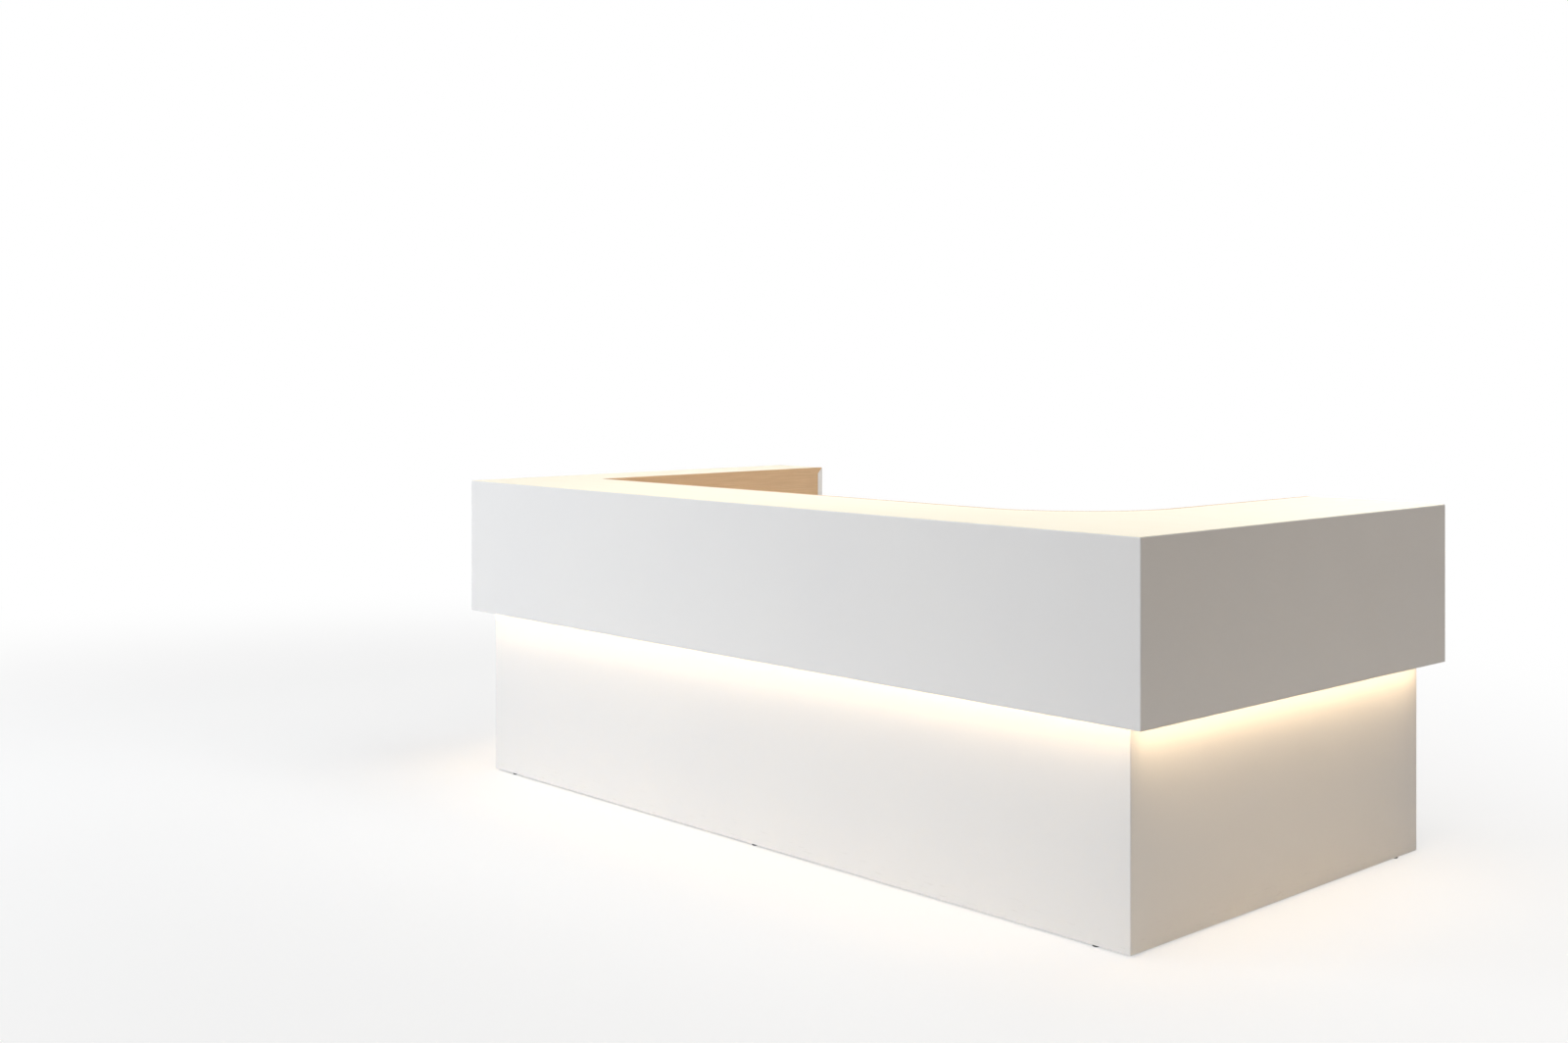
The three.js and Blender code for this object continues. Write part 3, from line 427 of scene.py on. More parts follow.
# %% Block out
def activate(piece):
    if bpy.context.mode != "OBJECT":
        bpy.ops.object.mode_set(mode="OBJECT")
    bpy.ops.object.select_all(action="DESELECT")
    piece.select_set(True)
    bpy.context.view_layer.objects.active = piece


def settle(name):
    bpy.ops.object.transform_apply(location=True, rotation=True, scale=True)
    piece = bpy.context.object
    piece.name = piece.data.name = name
    return piece


def block(name, low, high):
    bpy.ops.object.select_all(action="DESELECT")
    low, high = Vector(low), Vector(high)
    bpy.ops.mesh.primitive_cube_add(size=1, location=(low + high) / 2, scale=high - low)
    return settle(name)


print("blocking ready")

# %% Pick by place and round
AXES = {"x": 0, "y": 1, "z": 2}
CLOSE = 1e-4  # within this, an item lies at a place
STRAIGHT = 0.999  # how much of its length an edge runs along an axis
SELECT_MODE = {"verts": "VERT", "edges": "EDGE", "faces": "FACE"}


def pick(piece, kind, test):
    activate(piece)
    bpy.ops.object.mode_set(mode="EDIT")
    bpy.ops.mesh.select_mode(type=SELECT_MODE[kind])
    bpy.ops.mesh.select_all(action="DESELECT")
    for item in getattr(bmesh.from_edit_mesh(piece.data), kind):
        if test(item):
            item.select_set(True)
    bmesh.update_edit_mesh(piece.data)


def done():
    bpy.ops.object.mode_set(mode="OBJECT")


def at(**places):
    def test(item):
        points = [item.co] if hasattr(item, "co") else [v.co for v in item.verts]
        return all(
            abs(point[AXES[axis]] - value) < CLOSE
            for point in points for axis, value in places.items()
        )

    return test


def running(axis, **places):
    def test(edge):
        way = edge.verts[1].co - edge.verts[0].co
        return abs(way[AXES[axis]]) > STRAIGHT * way.length and at(**places)(edge)

    return test


def round_edges(piece, test, radius, steps):
    pick(piece, "edges", test)
    bpy.ops.mesh.bevel(offset=radius, segments=steps, affect="EDGES")
    done()


print("picking ready")

# %% Cut and slice
CLEAR = 0.2  # how far a cutting block runs past what it cuts


def apply_modifiers(piece):
    activate(piece)
    for modifier in list(piece.modifiers):
        bpy.ops.object.modifier_apply(modifier=modifier.name)


def cut(piece, *tools):
    for tool in tools:
        change = piece.modifiers.new("cut", "BOOLEAN")
        change.operation, change.object, change.solver = "DIFFERENCE", tool, "EXACT"
        apply_modifiers(piece)
        bpy.data.objects.remove(tool)
    return piece


def notch(piece, low, high):
    return cut(piece, block("notch", low, high))


def pick_all(piece):
    pick(piece, "faces", lambda face: True)


def score(piece, point, across, **more):
    pick_all(piece)
    bpy.ops.mesh.bisect(plane_co=point, plane_no=across, **more)
    done()


def slice_off(piece, point, keep_side):
    score(piece, point, keep_side, use_fill=True, clear_inner=True)


print("cutting ready")

# %% Copy and hand over
SMOOTH_ANGLE = math.radians(35)


def copy_to(piece, name, offset=(0, 0, 0)):
    activate(piece)
    bpy.ops.object.duplicate(linked=False)
    bpy.ops.transform.translate(value=offset)
    return settle(name)


def dress(piece, finish, nodes=(), body="desk"):
    piece.data.materials.clear()
    piece.data.materials.append(finish)
    activate(piece)
    bpy.ops.object.shade_smooth_by_angle(angle=SMOOTH_ANGLE)
    weighted = piece.modifiers.new("broad faces stay flat", "WEIGHTED_NORMAL")
    weighted.keep_sharp = True
    apply_modifiers(piece)
    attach(piece, body)
    if nodes:
        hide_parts(*nodes)


print("copying and dressing ready")

# %% [markdown]
# ## The upper band
# On the real desk the lacquered boards meet in mitres, filled and sprayed, so the corner reads as
# one soft edge with hardly a seam. If each board were rounded by itself, every joint would become a
# groove. So the whole band is made as one block, its outer edges are rounded once and it is
# hollowed. Only then is it sliced along the mitre planes into boards, a hair apart.

# %% A rounded, hollow tier and its boards
BOARD = 0.025
CORNER_ROUND, CORNER_STEPS = 0.004, 5
LOWER_EDGE_ROUND, LOWER_EDGE_STEPS = 0.0015, 2
GLUE_LINE = 0.00015  # half of the gap between two boards
FRONT, BACK = Vector((0, -1, 0)), Vector((0, 1, 0))
LEFT, RIGHT, TOP = Vector((-1, 0, 0)), Vector((1, 0, 0)), Vector((0, 0, 1))


def hollow_tier(name, low, high, closed_top):
    tier = block(name, low, high)
    upright, upper = running("z"), at(z=high.z)
    outer = (lambda edge: upright(edge) or upper(edge)) if closed_top else upright
    round_edges(tier, outer, CORNER_ROUND, CORNER_STEPS)
    round_edges(tier, at(z=low.z), LOWER_EDGE_ROUND, LOWER_EDGE_STEPS)
    roof = high.z - BOARD if closed_top else high.z + BOARD
    inside_low = (low.x + BOARD, low.y + BOARD, low.z - BOARD)
    return notch(tier, inside_low, (high.x - BOARD, high.y - BOARD, roof))


def reach(way, low, high):
    return high if way > 0 else low if way < 0 else 0


def board_of(tier, name, low, high, side, neighbours, end=None):
    board = copy_to(tier, name)
    for other in neighbours:
        edge = Vector([reach(*values) for values in zip(side + other, low, high)])
        keep = (side - other).normalized()
        slice_off(board, edge + keep * GLUE_LINE, keep)
    if end:
        slice_off(board, *end)
    return board


print("tiers ready")

# %% Slice the band into its boards
band_low = Vector((cad_low.x, cad_low.y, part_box("fascia_front")[0].z))
band_high = Vector(cad_high)
band = hollow_tier("band", band_low, band_high, True)
INNER_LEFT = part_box("fascia_left_back")[1].x
INNER_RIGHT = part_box("fascia_right_back")[0].x
left_end, right_end = (Vector((INNER_LEFT, 0, 0)), LEFT), (Vector((INNER_RIGHT, 0, 0)), RIGHT)
BAND_BOARDS = {
    "front_band": ("fascia_front", FRONT, (LEFT, RIGHT, TOP), None),
    "left_band": ("fascia_left", LEFT, (FRONT, BACK, TOP), None),
    "right_band": ("fascia_right", RIGHT, (FRONT, BACK, TOP), None),
    "left_band_end": ("fascia_left_back", BACK, (LEFT, TOP), left_end),
    "right_band_end": ("fascia_right_back", BACK, (RIGHT, TOP), right_end),
}
for name, (node, side, neighbours, end) in BAND_BOARDS.items():
    board = board_of(band, name, band_low, band_high, side, neighbours, end)
    dress(board, SPRAYED_WHITE, [node])
print("band boards:", ", ".join(BAND_BOARDS))

# %% [markdown]
# ## The counter tops
# The roof of the same block is the counter. The staff side is cut out of it with one tool: a block
# whose near right-hand edge is bevelled with a large radius, which gives the swept inner corner.
# A second, narrow tool makes room for the oak panel that comes up through the counter on the left.

# %% Cut the counter out of the band's roof
LIPPING = 0.018
SWEEP, SWEEP_STEPS = 0.4, 40  # radius of the swept inner corner
FIT = 0.0003
lipping_low, lipping_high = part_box("counter_lipping")
INNER_FRONT = lipping_low.y + LIPPING

roof = board_of(band, "right_top", band_low, band_high, TOP, (FRONT, BACK, LEFT, RIGHT))
bpy.data.objects.remove(band)
well_low = Vector((INNER_LEFT, INNER_FRONT - LIPPING - FIT, band_high.z - CLEAR))
well_high = Vector((INNER_RIGHT + LIPPING + FIT, band_high.y + CLEAR, band_high.z + CLEAR))
well = block("well", well_low, well_high)
near_right = running("z", x=well_high.x, y=well_low.y)
round_edges(well, near_right, SWEEP + LIPPING + FIT, SWEEP_STEPS)
panel_low, panel_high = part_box("left_inner_panel")
room_low = (panel_low.x - FIT, INNER_FRONT, well_low.z)
panel_room = block("panel_room", room_low, (0, well_high.y, well_high.z))
cut(roof, well, panel_room)
print("roof:", len(roof.data.polygons), "faces")

# %% Divide the counter into its three tops
left_joint, right_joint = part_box("counter_top_left")[0].y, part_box("counter_top_right")[0].y
front_top, left_top, right_top = copy_to(roof, "front_top"), copy_to(roof, "left_top"), roof
for joint, x0, x1 in ((left_joint, cad_low.x - CLEAR, 0), (right_joint, 0, cad_high.x + CLEAR)):
    notch(front_top, (x0, joint - FIT, well_low.z), (x1, well_high.y, well_high.z))
for top, joint, side in ((left_top, left_joint, LEFT), (right_top, right_joint, RIGHT)):
    slice_off(top, (0, joint, 0), BACK)
    slice_off(top, (0, 0, 0), side)
dress(front_top, CREAM_X, ["counter_top_front"])
dress(left_top, CREAM_Y, ["counter_top_left"])
dress(right_top, CREAM_Y, ["counter_top_right"])
print("counter tops:", [len(top.data.polygons) for top in (front_top, left_top, right_top)])

# %% [markdown]
# ## The base
# The base is the same idea without a roof: one open box with rounded corners, sliced into boards.
# It stands back from the band, which is what makes the shadow gap for the light. The right-hand end
# board also closes the cupboard, so it gets two rows of holes for the shelf's pins. One hole is
# made, an array repeats it, and the whole row is cut at once.

# %% The base boards
front_low, front_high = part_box("base_front_panel")
far_x, far_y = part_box("base_right_panel")[1].x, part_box("base_right_back_panel")[1].y
base_low = Vector((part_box("base_left_panel")[0].x, front_low.y, front_low.z))
base_high = Vector((far_x, far_y, front_high.z))
base = hollow_tier("base", base_low, base_high, False)
BASE_BOARDS = {
    "front_base": ("base_front_panel", FRONT, (LEFT, RIGHT), None),
    "left_base": ("base_left_panel", LEFT, (FRONT, BACK), None),
    "right_base": ("base_right_panel", RIGHT, (FRONT, BACK), None),
    "left_base_end": ("base_left_back_panel", BACK, (LEFT,), left_end),
    "right_base_end": ("base_right_back_panel", BACK, (RIGHT,), right_end),
}
base_boards = {}
for name, (node, side, neighbours, end) in BASE_BOARDS.items():
    base_boards[name] = board_of(base, name, base_low, base_high, side, neighbours, end)
bpy.data.objects.remove(base)
print("base boards:", ", ".join(base_boards))

# %% Holes for the shelf's pins
PIN_HOLE, PIN_PITCH, PIN_HOLES, PIN_HOLE_DEPTH = 0.0025, 0.032, 11, 0.010
PIN_INSET, HOLES_BELOW_SHELF = 0.045, 5
TILT = {"x": (0, math.pi / 2, 0), "y": (math.pi / 2, 0, 0), "z": (0, 0, 0)}


def rod(name, middle, radius, length, axis="z", sides=48):
    bpy.ops.object.select_all(action="DESELECT")
    bpy.ops.mesh.primitive_cylinder_add(
        vertices=sides, radius=radius, depth=length, location=middle, rotation=TILT[axis]
    )
    return settle(name)


def row(piece, count, step):
    array = piece.modifiers.new("row", "ARRAY")
    array.count = count
    array.use_relative_offset, array.use_constant_offset = False, True
    array.constant_offset_displace = step
    apply_modifiers(piece)
    return piece


def pin_holes(x, y):
    hole = rod("pin_hole", (x, y, first_hole), PIN_HOLE, 2 * PIN_HOLE_DEPTH, "y", 24)
    return row(hole, PIN_HOLES, (0, 0, PIN_PITCH))


shelf_low, shelf_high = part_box("cupboard_shelf")
PIN_X = (shelf_low.x + PIN_INSET, shelf_high.x - PIN_INSET)
first_hole = shelf_low.z - PIN_HOLE - HOLES_BELOW_SHELF * PIN_PITCH
cut(base_boards["right_base_end"], *[pin_holes(x, base_high.y - BOARD) for x in PIN_X])
for name, board in base_boards.items():
    dress(board, SPRAYED_WHITE, [BASE_BOARDS[name][0]])
print("pin holes:", 2 * PIN_HOLES, "in the right-hand end board")

# %% [markdown]
# ## The oak lipping
# A lipping is a strip glued to the counter's inner edge; in the corner the joiner bends it. In
# Blender that is one cross-section, pushed along the front, spun round the corner's centre and
# pushed along the return. Its far end is cut to the mitre of the band behind it. The grain has to
# bend with the strip, so every point is given the place it had while the strip was straight.

# %% Push, close and ease
SEAM = 5e-6  # points as near as this are one point
EASE, SOFT_EASE, FINE_EASE, SMALL_EASE = 0.001, 0.0012, 0.0005, 0.0008


def pull(piece, test, way):
    pick(piece, "faces", test)
    bpy.ops.mesh.extrude_region_move(TRANSFORM_OT_translate={"value": way})
    done()


def shift(piece, test, way):
    pick(piece, "verts", test)
    bpy.ops.transform.translate(value=way)
    done()


def close_up(piece):
    pick_all(piece)
    bpy.ops.mesh.remove_doubles(threshold=SEAM)
    bpy.ops.mesh.normals_make_consistent(inside=False)
    done()
    return piece


def ease(piece, width=EASE, segments=2, angle=30):
    bevel = piece.modifiers.new("eased edges", "BEVEL")
    bevel.width, bevel.segments = width, segments
    bevel.limit_method, bevel.angle_limit = "ANGLE", math.radians(angle)
    apply_modifiers(piece)
    return piece


print("pushing and easing ready")

# %% Bend the lipping
QUARTER = math.pi / 2


def fascia_room(low_x, high_x):
    inside, outside = band_high.y - BOARD - FIT, band_high.y + CLEAR
    step = band_high.z - BOARD
    tool = block("fascia_room", (low_x, inside, band_low.z - CLEAR), (high_x, outside, step))
    shift(tool, at(y=outside, z=step), (0, 0, outside - inside))
    return tool


sweep_x, sweep_y = INNER_RIGHT - SWEEP, INNER_FRONT + SWEEP
sweep_centre = (sweep_x, sweep_y, 0)
lipping = block("bent_lipping", lipping_low, (sweep_x, INNER_FRONT, lipping_high.z))
pick(lipping, "faces", at(x=sweep_x))
bpy.ops.mesh.spin(steps=SWEEP_STEPS, angle=-QUARTER, center=sweep_centre, axis=TOP)
pull(lipping, at(y=sweep_y), (0, lipping_high.y - sweep_y, 0))
close_up(lipping)
cut(lipping, fascia_room(INNER_RIGHT - LIPPING, INNER_RIGHT + 2 * LIPPING))
ease(lipping, EASE, 3)
dress(lipping, EDGE_BENT, ["counter_lipping"])
print("lipping:", rounded(lipping.dimensions))

# %% Lay the grain along the bend
def unbend(point):
    out_x, out_y = point.x - sweep_x, sweep_y - point.y
    if out_x < 0:
        return point.x, -out_y, point.z
    if out_y < 0:
        return sweep_x + SWEEP * QUARTER - out_y, -out_x, point.z
    return sweep_x + SWEEP * math.atan2(out_x, out_y), -math.hypot(out_x, out_y), point.z


grain = lipping.data.attributes.new(UNBENT, "FLOAT_VECTOR", "POINT")
for vertex in lipping.data.vertices:
    grain.data[vertex.index].vector = unbend(vertex.co)
print("grain laid over", len(lipping.data.vertices), "points")

# %% [markdown]
# ## The light gap
# A narrow soffit closes the gap from above and carries the strip in a groove. At the ends of the U
# the soffit turns the corner, and its last piece is pulled up to fill the slot between the tiers.
# The strip is a long block with its lower edges rounded. The right-hand one is a copy of the left.

# %% Soffits
SOFFIT, PANEL = 0.018, 0.018
FACING = 0.9  # how much of a face's normal has to point along an axis


def facing(axis):
    return lambda face: face.normal[AXES[axis]] > FACING


def groove(strip_node):
    low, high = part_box(strip_node)
    room = Vector((FIT, FIT, FIT))
    return block("groove", low - room - CLEAR * TOP, high + room)


low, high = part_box("soffit_front")
soffit = cut(block("front_soffit", low, high), groove("led_strip_front"))
dress(ease(soffit, FINE_EASE, 1), SPRAYED_WHITE, ["soffit_front"])

U_ENDS = {"left": (INNER_LEFT, base_low.x - FIT), "right": (INNER_RIGHT, base_high.x + FIT)}
for where, (inner_end, base_side) in U_ENDS.items():
    low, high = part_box(f"soffit_{where}")
    soffit = block(f"{where}_soffit", low, (high.x, high.y, low.z + SOFFIT))
    x0, x1 = sorted((base_side, 0))
    notch(soffit, (x0, low.y - CLEAR, low.z - CLEAR), (x1, base_high.y + FIT, high.z))
    cut(soffit, groove(f"led_strip_{where}"))
    score(soffit, (inner_end + math.copysign(PANEL, inner_end), 0, 0), RIGHT)

    def filler(face):
        return facing("z")(face) and abs(face.calc_center_median().x - inner_end) < PANEL

    pull(soffit, filler, (0, 0, high.z - low.z - SOFFIT))
    dress(ease(soffit, FINE_EASE, 1), SPRAYED_WHITE, [f"soffit_{where}"])
print("soffits: front,", ", ".join(U_ENDS))

# %% Light strips
STRIP_EDGE, STRIP_STEPS = 0.002, 4


def light_strip(where, axis):
    low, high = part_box(f"led_strip_{where}")
    strip = block(f"{where}_light_strip", low, high)
    round_edges(strip, running(axis, z=low.z), STRIP_EDGE, STRIP_STEPS)
    return strip


def square_to(axis):
    return lambda face: abs(face.normal[AXES[axis]]) > FACING


def give(piece, finish, test):
    piece.data.materials.append(finish)
    for face in piece.data.polygons:
        if test(face):
            face.material_index = len(piece.data.materials) - 1


strip_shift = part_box("led_strip_right")[0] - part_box("led_strip_left")[0]
strips = {"front": light_strip("front", "x"), "left": light_strip("left", "y")}
strips["right"] = copy_to(strips["left"], "right_light_strip", strip_shift)
for where, strip in strips.items():
    dress(strip, OPAL_SILICONE, [f"led_strip_{where}"])
    give(strip, PALE_MOULDING, square_to("x" if where == "front" else "y"))
print("light strips:", ", ".join(strips))

# %% [markdown]
# ## What the strips throw down
# Most of a diode's light goes straight down, so the base glows under the gap and fades towards the
# floor. A glowing mesh would spread its light evenly to all sides. A long lamp right under each
# strip, with its spread narrowed, falls off along the base as the real light does.

# %% Strip lamps
STRIP_WATTS = {"front": 0.585, "left": 0.94, "right": 0.94}  # a metre; the front is in daylight
STRIP_SPREAD = 112
for where, watts in STRIP_WATTS.items():
    low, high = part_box(f"led_strip_{where}")
    long, wide, _ = high - low
    place = Vector(((low.x + high.x) / 2, (low.y + high.y) / 2, low.z - FIT))
    energy, name = watts * max(long, wide), f"{where}_strip_lamp"
    lamp(name, "AREA", energy, place, place - TOP, (long, wide), GLOW[:3], STRIP_SPREAD)
print("strip lamps:", STRIP_WATTS)

# %% [markdown]
# ## The driver
# The strips' driver is a plastic case on the back of the base. It grows out of its own mounting
# plate: two scored lines mark off the ears, and the middle is pulled out. Rows of cooling slots are
# cut into the upper and the lower side.

# %% The driver's case
EAR, EAR_PLATE = 0.025, 0.003
VENTS, VENT_PITCH, VENT_WIDTH, VENT_DEPTH = 12, 0.009, 0.003, 0.002
VENT_FROM_WALL, VENT_FROM_FACE = 0.010, 0.008


def between_ears(face):
    return facing("y")(face) and abs(face.calc_center_median().x - middle.x) < EAR


driver_low, driver_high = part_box("led_driver")
middle = (driver_low + driver_high) / 2
plate_y = driver_low.y + EAR_PLATE
driver = block("light_driver", driver_low, (driver_high.x, plate_y, driver_high.z))
for line in (driver_low.x + EAR, driver_high.x - EAR):
    score(driver, (line, 0, 0), RIGHT)
pull(driver, between_ears, (0, driver_high.y - plate_y, 0))
ease(driver, SOFT_EASE, 3)
vent_x = middle.x - VENT_PITCH * (VENTS - 1) / 2
for z in (driver_low.z, driver_high.z):
    vent_low = (vent_x, driver_low.y + VENT_FROM_WALL, z - VENT_DEPTH)
    vent_high = (vent_x + VENT_WIDTH, driver_high.y - VENT_FROM_FACE, z + VENT_DEPTH)
    cut(driver, row(block("vent", vent_low, vent_high), VENTS, (VENT_PITCH, 0, 0)))
dress(driver, PALE_MOULDING, ["led_driver"])
print("driver:", len(driver.data.polygons), "faces")

# %% [markdown]
# ## Boards of the staff side
# These are plain boards, and what makes them read as boards is the edge: laminate on the two broad
# faces, a slightly darker band on the narrow ones, and a small eased arris that catches the light.
# The narrow faces are found by their normals, because a board is thinnest across its broad faces.

# %% Oak and white boards
EDGE_TILT = 0.7  # a face whose normal is further from the thin direction is part of the edge


def band_edges(piece, node, finish):
    low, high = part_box(node)
    sizes = high - low
    thin = min(range(3), key=lambda i: sizes[i])
    give(piece, finish, lambda face: abs(face.normal[thin]) < EDGE_TILT)


OAK_BOARDS = {
    "return_worktop": ("worktop_return", EDGE_Y),
    "left_divider": ("divider_left", EDGE_Z),
    "cupboard_bottom": ("cupboard_floor", EDGE_Y),
    "loose_shelf": ("cupboard_shelf", EDGE_Y),
}
oak_boards = {name: ease(block(name, *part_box(node))) for name, (node, _) in OAK_BOARDS.items()}
divider_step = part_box("divider_right")[0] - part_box("divider_left")[0]
oak_boards["right_divider"] = copy_to(oak_boards["left_divider"], "right_divider", divider_step)
OAK_BOARDS["right_divider"] = ("divider_right", EDGE_Z)
for name, (node, edge_finish) in OAK_BOARDS.items():
    dress(oak_boards[name], OAK_Y, [node])
    band_edges(oak_boards[name], node, edge_finish)

WHITE_BOARDS = {
    "middle_gable": "gable_middle", "right_gable": "gable_right", "toe_board": "cupboard_kick",
}
for name, node in WHITE_BOARDS.items():
    dress(ease(block(name, *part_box(node))), SPRAYED_WHITE, [node])
print("boards:", ", ".join([*OAK_BOARDS, *WHITE_BOARDS]))

# %% The long worktop with its cable hole
HOLE = 0.0403
ring_low, ring_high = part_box("grommet_ring")
outlet = (ring_low + ring_high) / 2
worktop_low, worktop_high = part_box("worktop_front")
long_worktop = block("long_worktop", worktop_low, worktop_high)
cut(long_worktop, rod("hole", outlet, HOLE, CLEAR, sides=72))
dress(ease(long_worktop), OAK_X, ["worktop_front"])
band_edges(long_worktop, "worktop_front", EDGE_X)
print("long worktop:", len(long_worktop.data.polygons), "faces")

# %% [markdown]
# ## The panel and the partition
# Two boards have stepped outlines, because they pass from the deep band into the narrower base and
# up to the counter. Each starts as its whole rectangle, and the steps are cut away. The partition
# is also the cupboard's side, so it has the other two rows of pin holes.

# %% The stepped panel
low, high = panel_low, panel_high
x0, x1, step = low.x - CLEAR, high.x + CLEAR, worktop_low.z + FIT
below = low.z - CLEAR
panel = block("inner_panel", low, high)
notch(panel, (x0, low.y - CLEAR, below), (x1, base_low.y + BOARD + FIT, step))
notch(panel, (x0, base_high.y - BOARD - FIT, below), (x1, high.y + CLEAR, step))
under_counter = band_high.z - BOARD - FIT
notch(panel, (x0, low.y - CLEAR, under_counter), (x1, INNER_FRONT + FIT, high.z + CLEAR))
cut(panel, fascia_room(x0, x1))
dress(ease(panel), OAK_Y, ["left_inner_panel"])
band_edges(panel, "left_inner_panel", EDGE_Y)
print("panel:", len(panel.data.polygons), "faces")

# %% The stepped partition
NICHE_SETBACK = 0.03
low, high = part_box("return_partition")
base_inside, niche = base_high.x - BOARD - FIT, low.x + NICHE_SETBACK
partition = block("cross_partition", low, high)
notch(partition, (base_inside, -CLEAR, -CLEAR), (high.x + CLEAR, CLEAR, worktop_low.z))
notch(partition, (low.x - CLEAR, -CLEAR, worktop_high.z), (niche, CLEAR, high.z + CLEAR))
ease(partition)
cut(partition, *[pin_holes(x, high.y) for x in PIN_X])
dress(partition, OAK_Z, ["return_partition"])
band_edges(partition, "return_partition", EDGE_Z)
print("partition:", len(partition.data.polygons), "faces")

# %% [markdown]
# ## Turned pieces
# Rings, caps, glides, screws and the lock are round. A lathe is the natural tool: draw half of the
# section point by point, spin it once round the axis and close the seam. The same helper turns all
# of them; a list of (radius, height) pairs is all that changes.

# %% A lathe
CHAMFER = 0.0006


def draw_line(points):
    bpy.ops.object.select_all(action="DESELECT")
    bpy.ops.mesh.primitive_plane_add(size=CLOSE)
    bpy.ops.object.mode_set(mode="EDIT")
    bpy.ops.mesh.select_mode(type="VERT")
    bpy.ops.mesh.select_all(action="SELECT")
    bpy.ops.mesh.merge(type="CENTER")
    bpy.ops.transform.translate(value=points[0])
    for before, after in zip(points, points[1:]):
        bpy.ops.mesh.extrude_vertices_move(TRANSFORM_OT_translate={"value": after - before})
    bpy.ops.mesh.select_all(action="SELECT")


def turn(name, section, foot, axis="z", sides=48):
    draw_line([Vector((radius, 0, height)) for radius, height in section])
    bpy.ops.mesh.spin(steps=sides, angle=2 * math.pi, center=(0, 0, 0), axis=TOP)
    piece = close_up(bpy.context.object)
    piece.rotation_euler, piece.location = TILT[axis], foot
    return settle(name)


print("lathe ready")

# %% The cable outlet's ring
SLEEVE, WALL, LEDGE, FLANGE = 0.040, 0.003, 0.003, 0.005
top_z = worktop_high.z
cap_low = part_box("grommet_cap")[0]
bore, brim = SLEEVE - WALL, SLEEVE + FLANGE
foot, crest, ledge = ring_low.z - top_z, ring_high.z - top_z, cap_low.z - top_z - FIT
ring_section = [
    (bore - LEDGE, foot), (SLEEVE, foot), (SLEEVE, FIT), (brim, FIT),
    (brim - CHAMFER, 0.0011), (brim - 0.002, 0.0018), (SLEEVE, crest),
    (bore + CHAMFER, crest), (bore, crest - CHAMFER), (bore, ledge), (bore - LEDGE, ledge),
    (bore - LEDGE, foot),
]
ring = turn("outlet_ring", ring_section, (outlet.x, outlet.y, top_z), sides=72)
dress(ring, GRAPHITE_MOULDING, ["grommet_ring"])
print("ring:", len(ring.data.polygons), "faces")

# %% The cable outlet's cap
CAP_ROOM, CABLE_NOTCH, CAP = 0.0008, 0.012, 0.004
GROOVE_FROM_RIM, GROOVE_HALF, GROOVE_DEPTH = 0.005, 0.001, 0.0007
rim = bore - CAP_ROOM
groove_at = rim - GROOVE_FROM_RIM
cap_section = [
    (0, 0), (rim - FINE_EASE, 0), (rim, FINE_EASE), (rim, CAP - CHAMFER), (rim - CHAMFER, CAP),
    (groove_at + GROOVE_HALF, CAP), (groove_at, CAP - GROOVE_DEPTH), (groove_at - GROOVE_HALF, CAP),
    (0, CAP),
]
cap = turn("outlet_disc", cap_section, (outlet.x, outlet.y, cap_low.z), sides=72)
notch_x = outlet.x + math.sqrt(rim ** 2 - CABLE_NOTCH ** 2)
cut(cap, rod("cable_notch", (notch_x, outlet.y, cap_low.z), CABLE_NOTCH, CLEAR))
dress(cap, GRAPHITE_MOULDING, ["grommet_cap"], "outlet_cap")
print("cap:", len(cap.data.polygons), "faces")

# %% Glides
GLIDES = ("front_left", "front_middle", "front_right", "back_left", "back_right")
low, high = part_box("glide_front_left")
radius, height = (high.x - low.x) / 2, high.z - low.z
glide_section = [
    (0, 0), (radius - 0.0022, 0), (radius - CHAMFER, 0.0008), (radius, 0.002),
    (radius, height), (0, height),
]
foot = ((low.x + high.x) / 2, (low.y + high.y) / 2, 0)
glides = {"front_left": turn("front_left_glide", glide_section, foot, sides=36)}
for where in GLIDES[1:]:
    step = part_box(f"glide_{where}")[0] - low
    glides[where] = copy_to(glides["front_left"], f"{where}_glide", step)
for where, glide in glides.items():
    dress(glide, GRAPHITE_MOULDING, [f"glide_{where}"])
print("glides:", ", ".join(GLIDES))

# %% [markdown]
# ## The cable tray
# The tray is folded sheet. Folding is the way to model it too: one line is pulled through the five
# corners of the section, swept along the tray, and given the sheet's thickness. Slots for cable
# ties are punched in the bottom, again as rows of one slot.

# %% Fold the tray
SHEET = 0.002
TRAY_LIP, TRAY_FLANGE = 0.045, 0.020
low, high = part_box("cable_tray")
section = [
    (low.y + TRAY_FLANGE, high.z), (low.y, high.z), (low.y, low.z),
    (high.y, low.z), (high.y, low.z + TRAY_LIP),
]
draw_line([Vector((low.x, y, z)) for y, z in section])
bpy.ops.mesh.select_mode(type="EDGE")
bpy.ops.mesh.extrude_region_move(TRANSFORM_OT_translate={"value": (high.x - low.x, 0, 0)})
bpy.ops.mesh.select_all(action="SELECT")
bpy.ops.mesh.normals_make_consistent(inside=False)
done()
tray = settle("folded_tray")
bottom = min(tray.data.polygons, key=lambda face: face.center.z)
sheet = tray.modifiers.new("sheet", "SOLIDIFY")
sheet.thickness, sheet.use_even_offset = SHEET, True
sheet.offset = math.copysign(1.0, bottom.normal.z)
apply_modifiers(tray)
print("tray:", rounded(tray.dimensions))

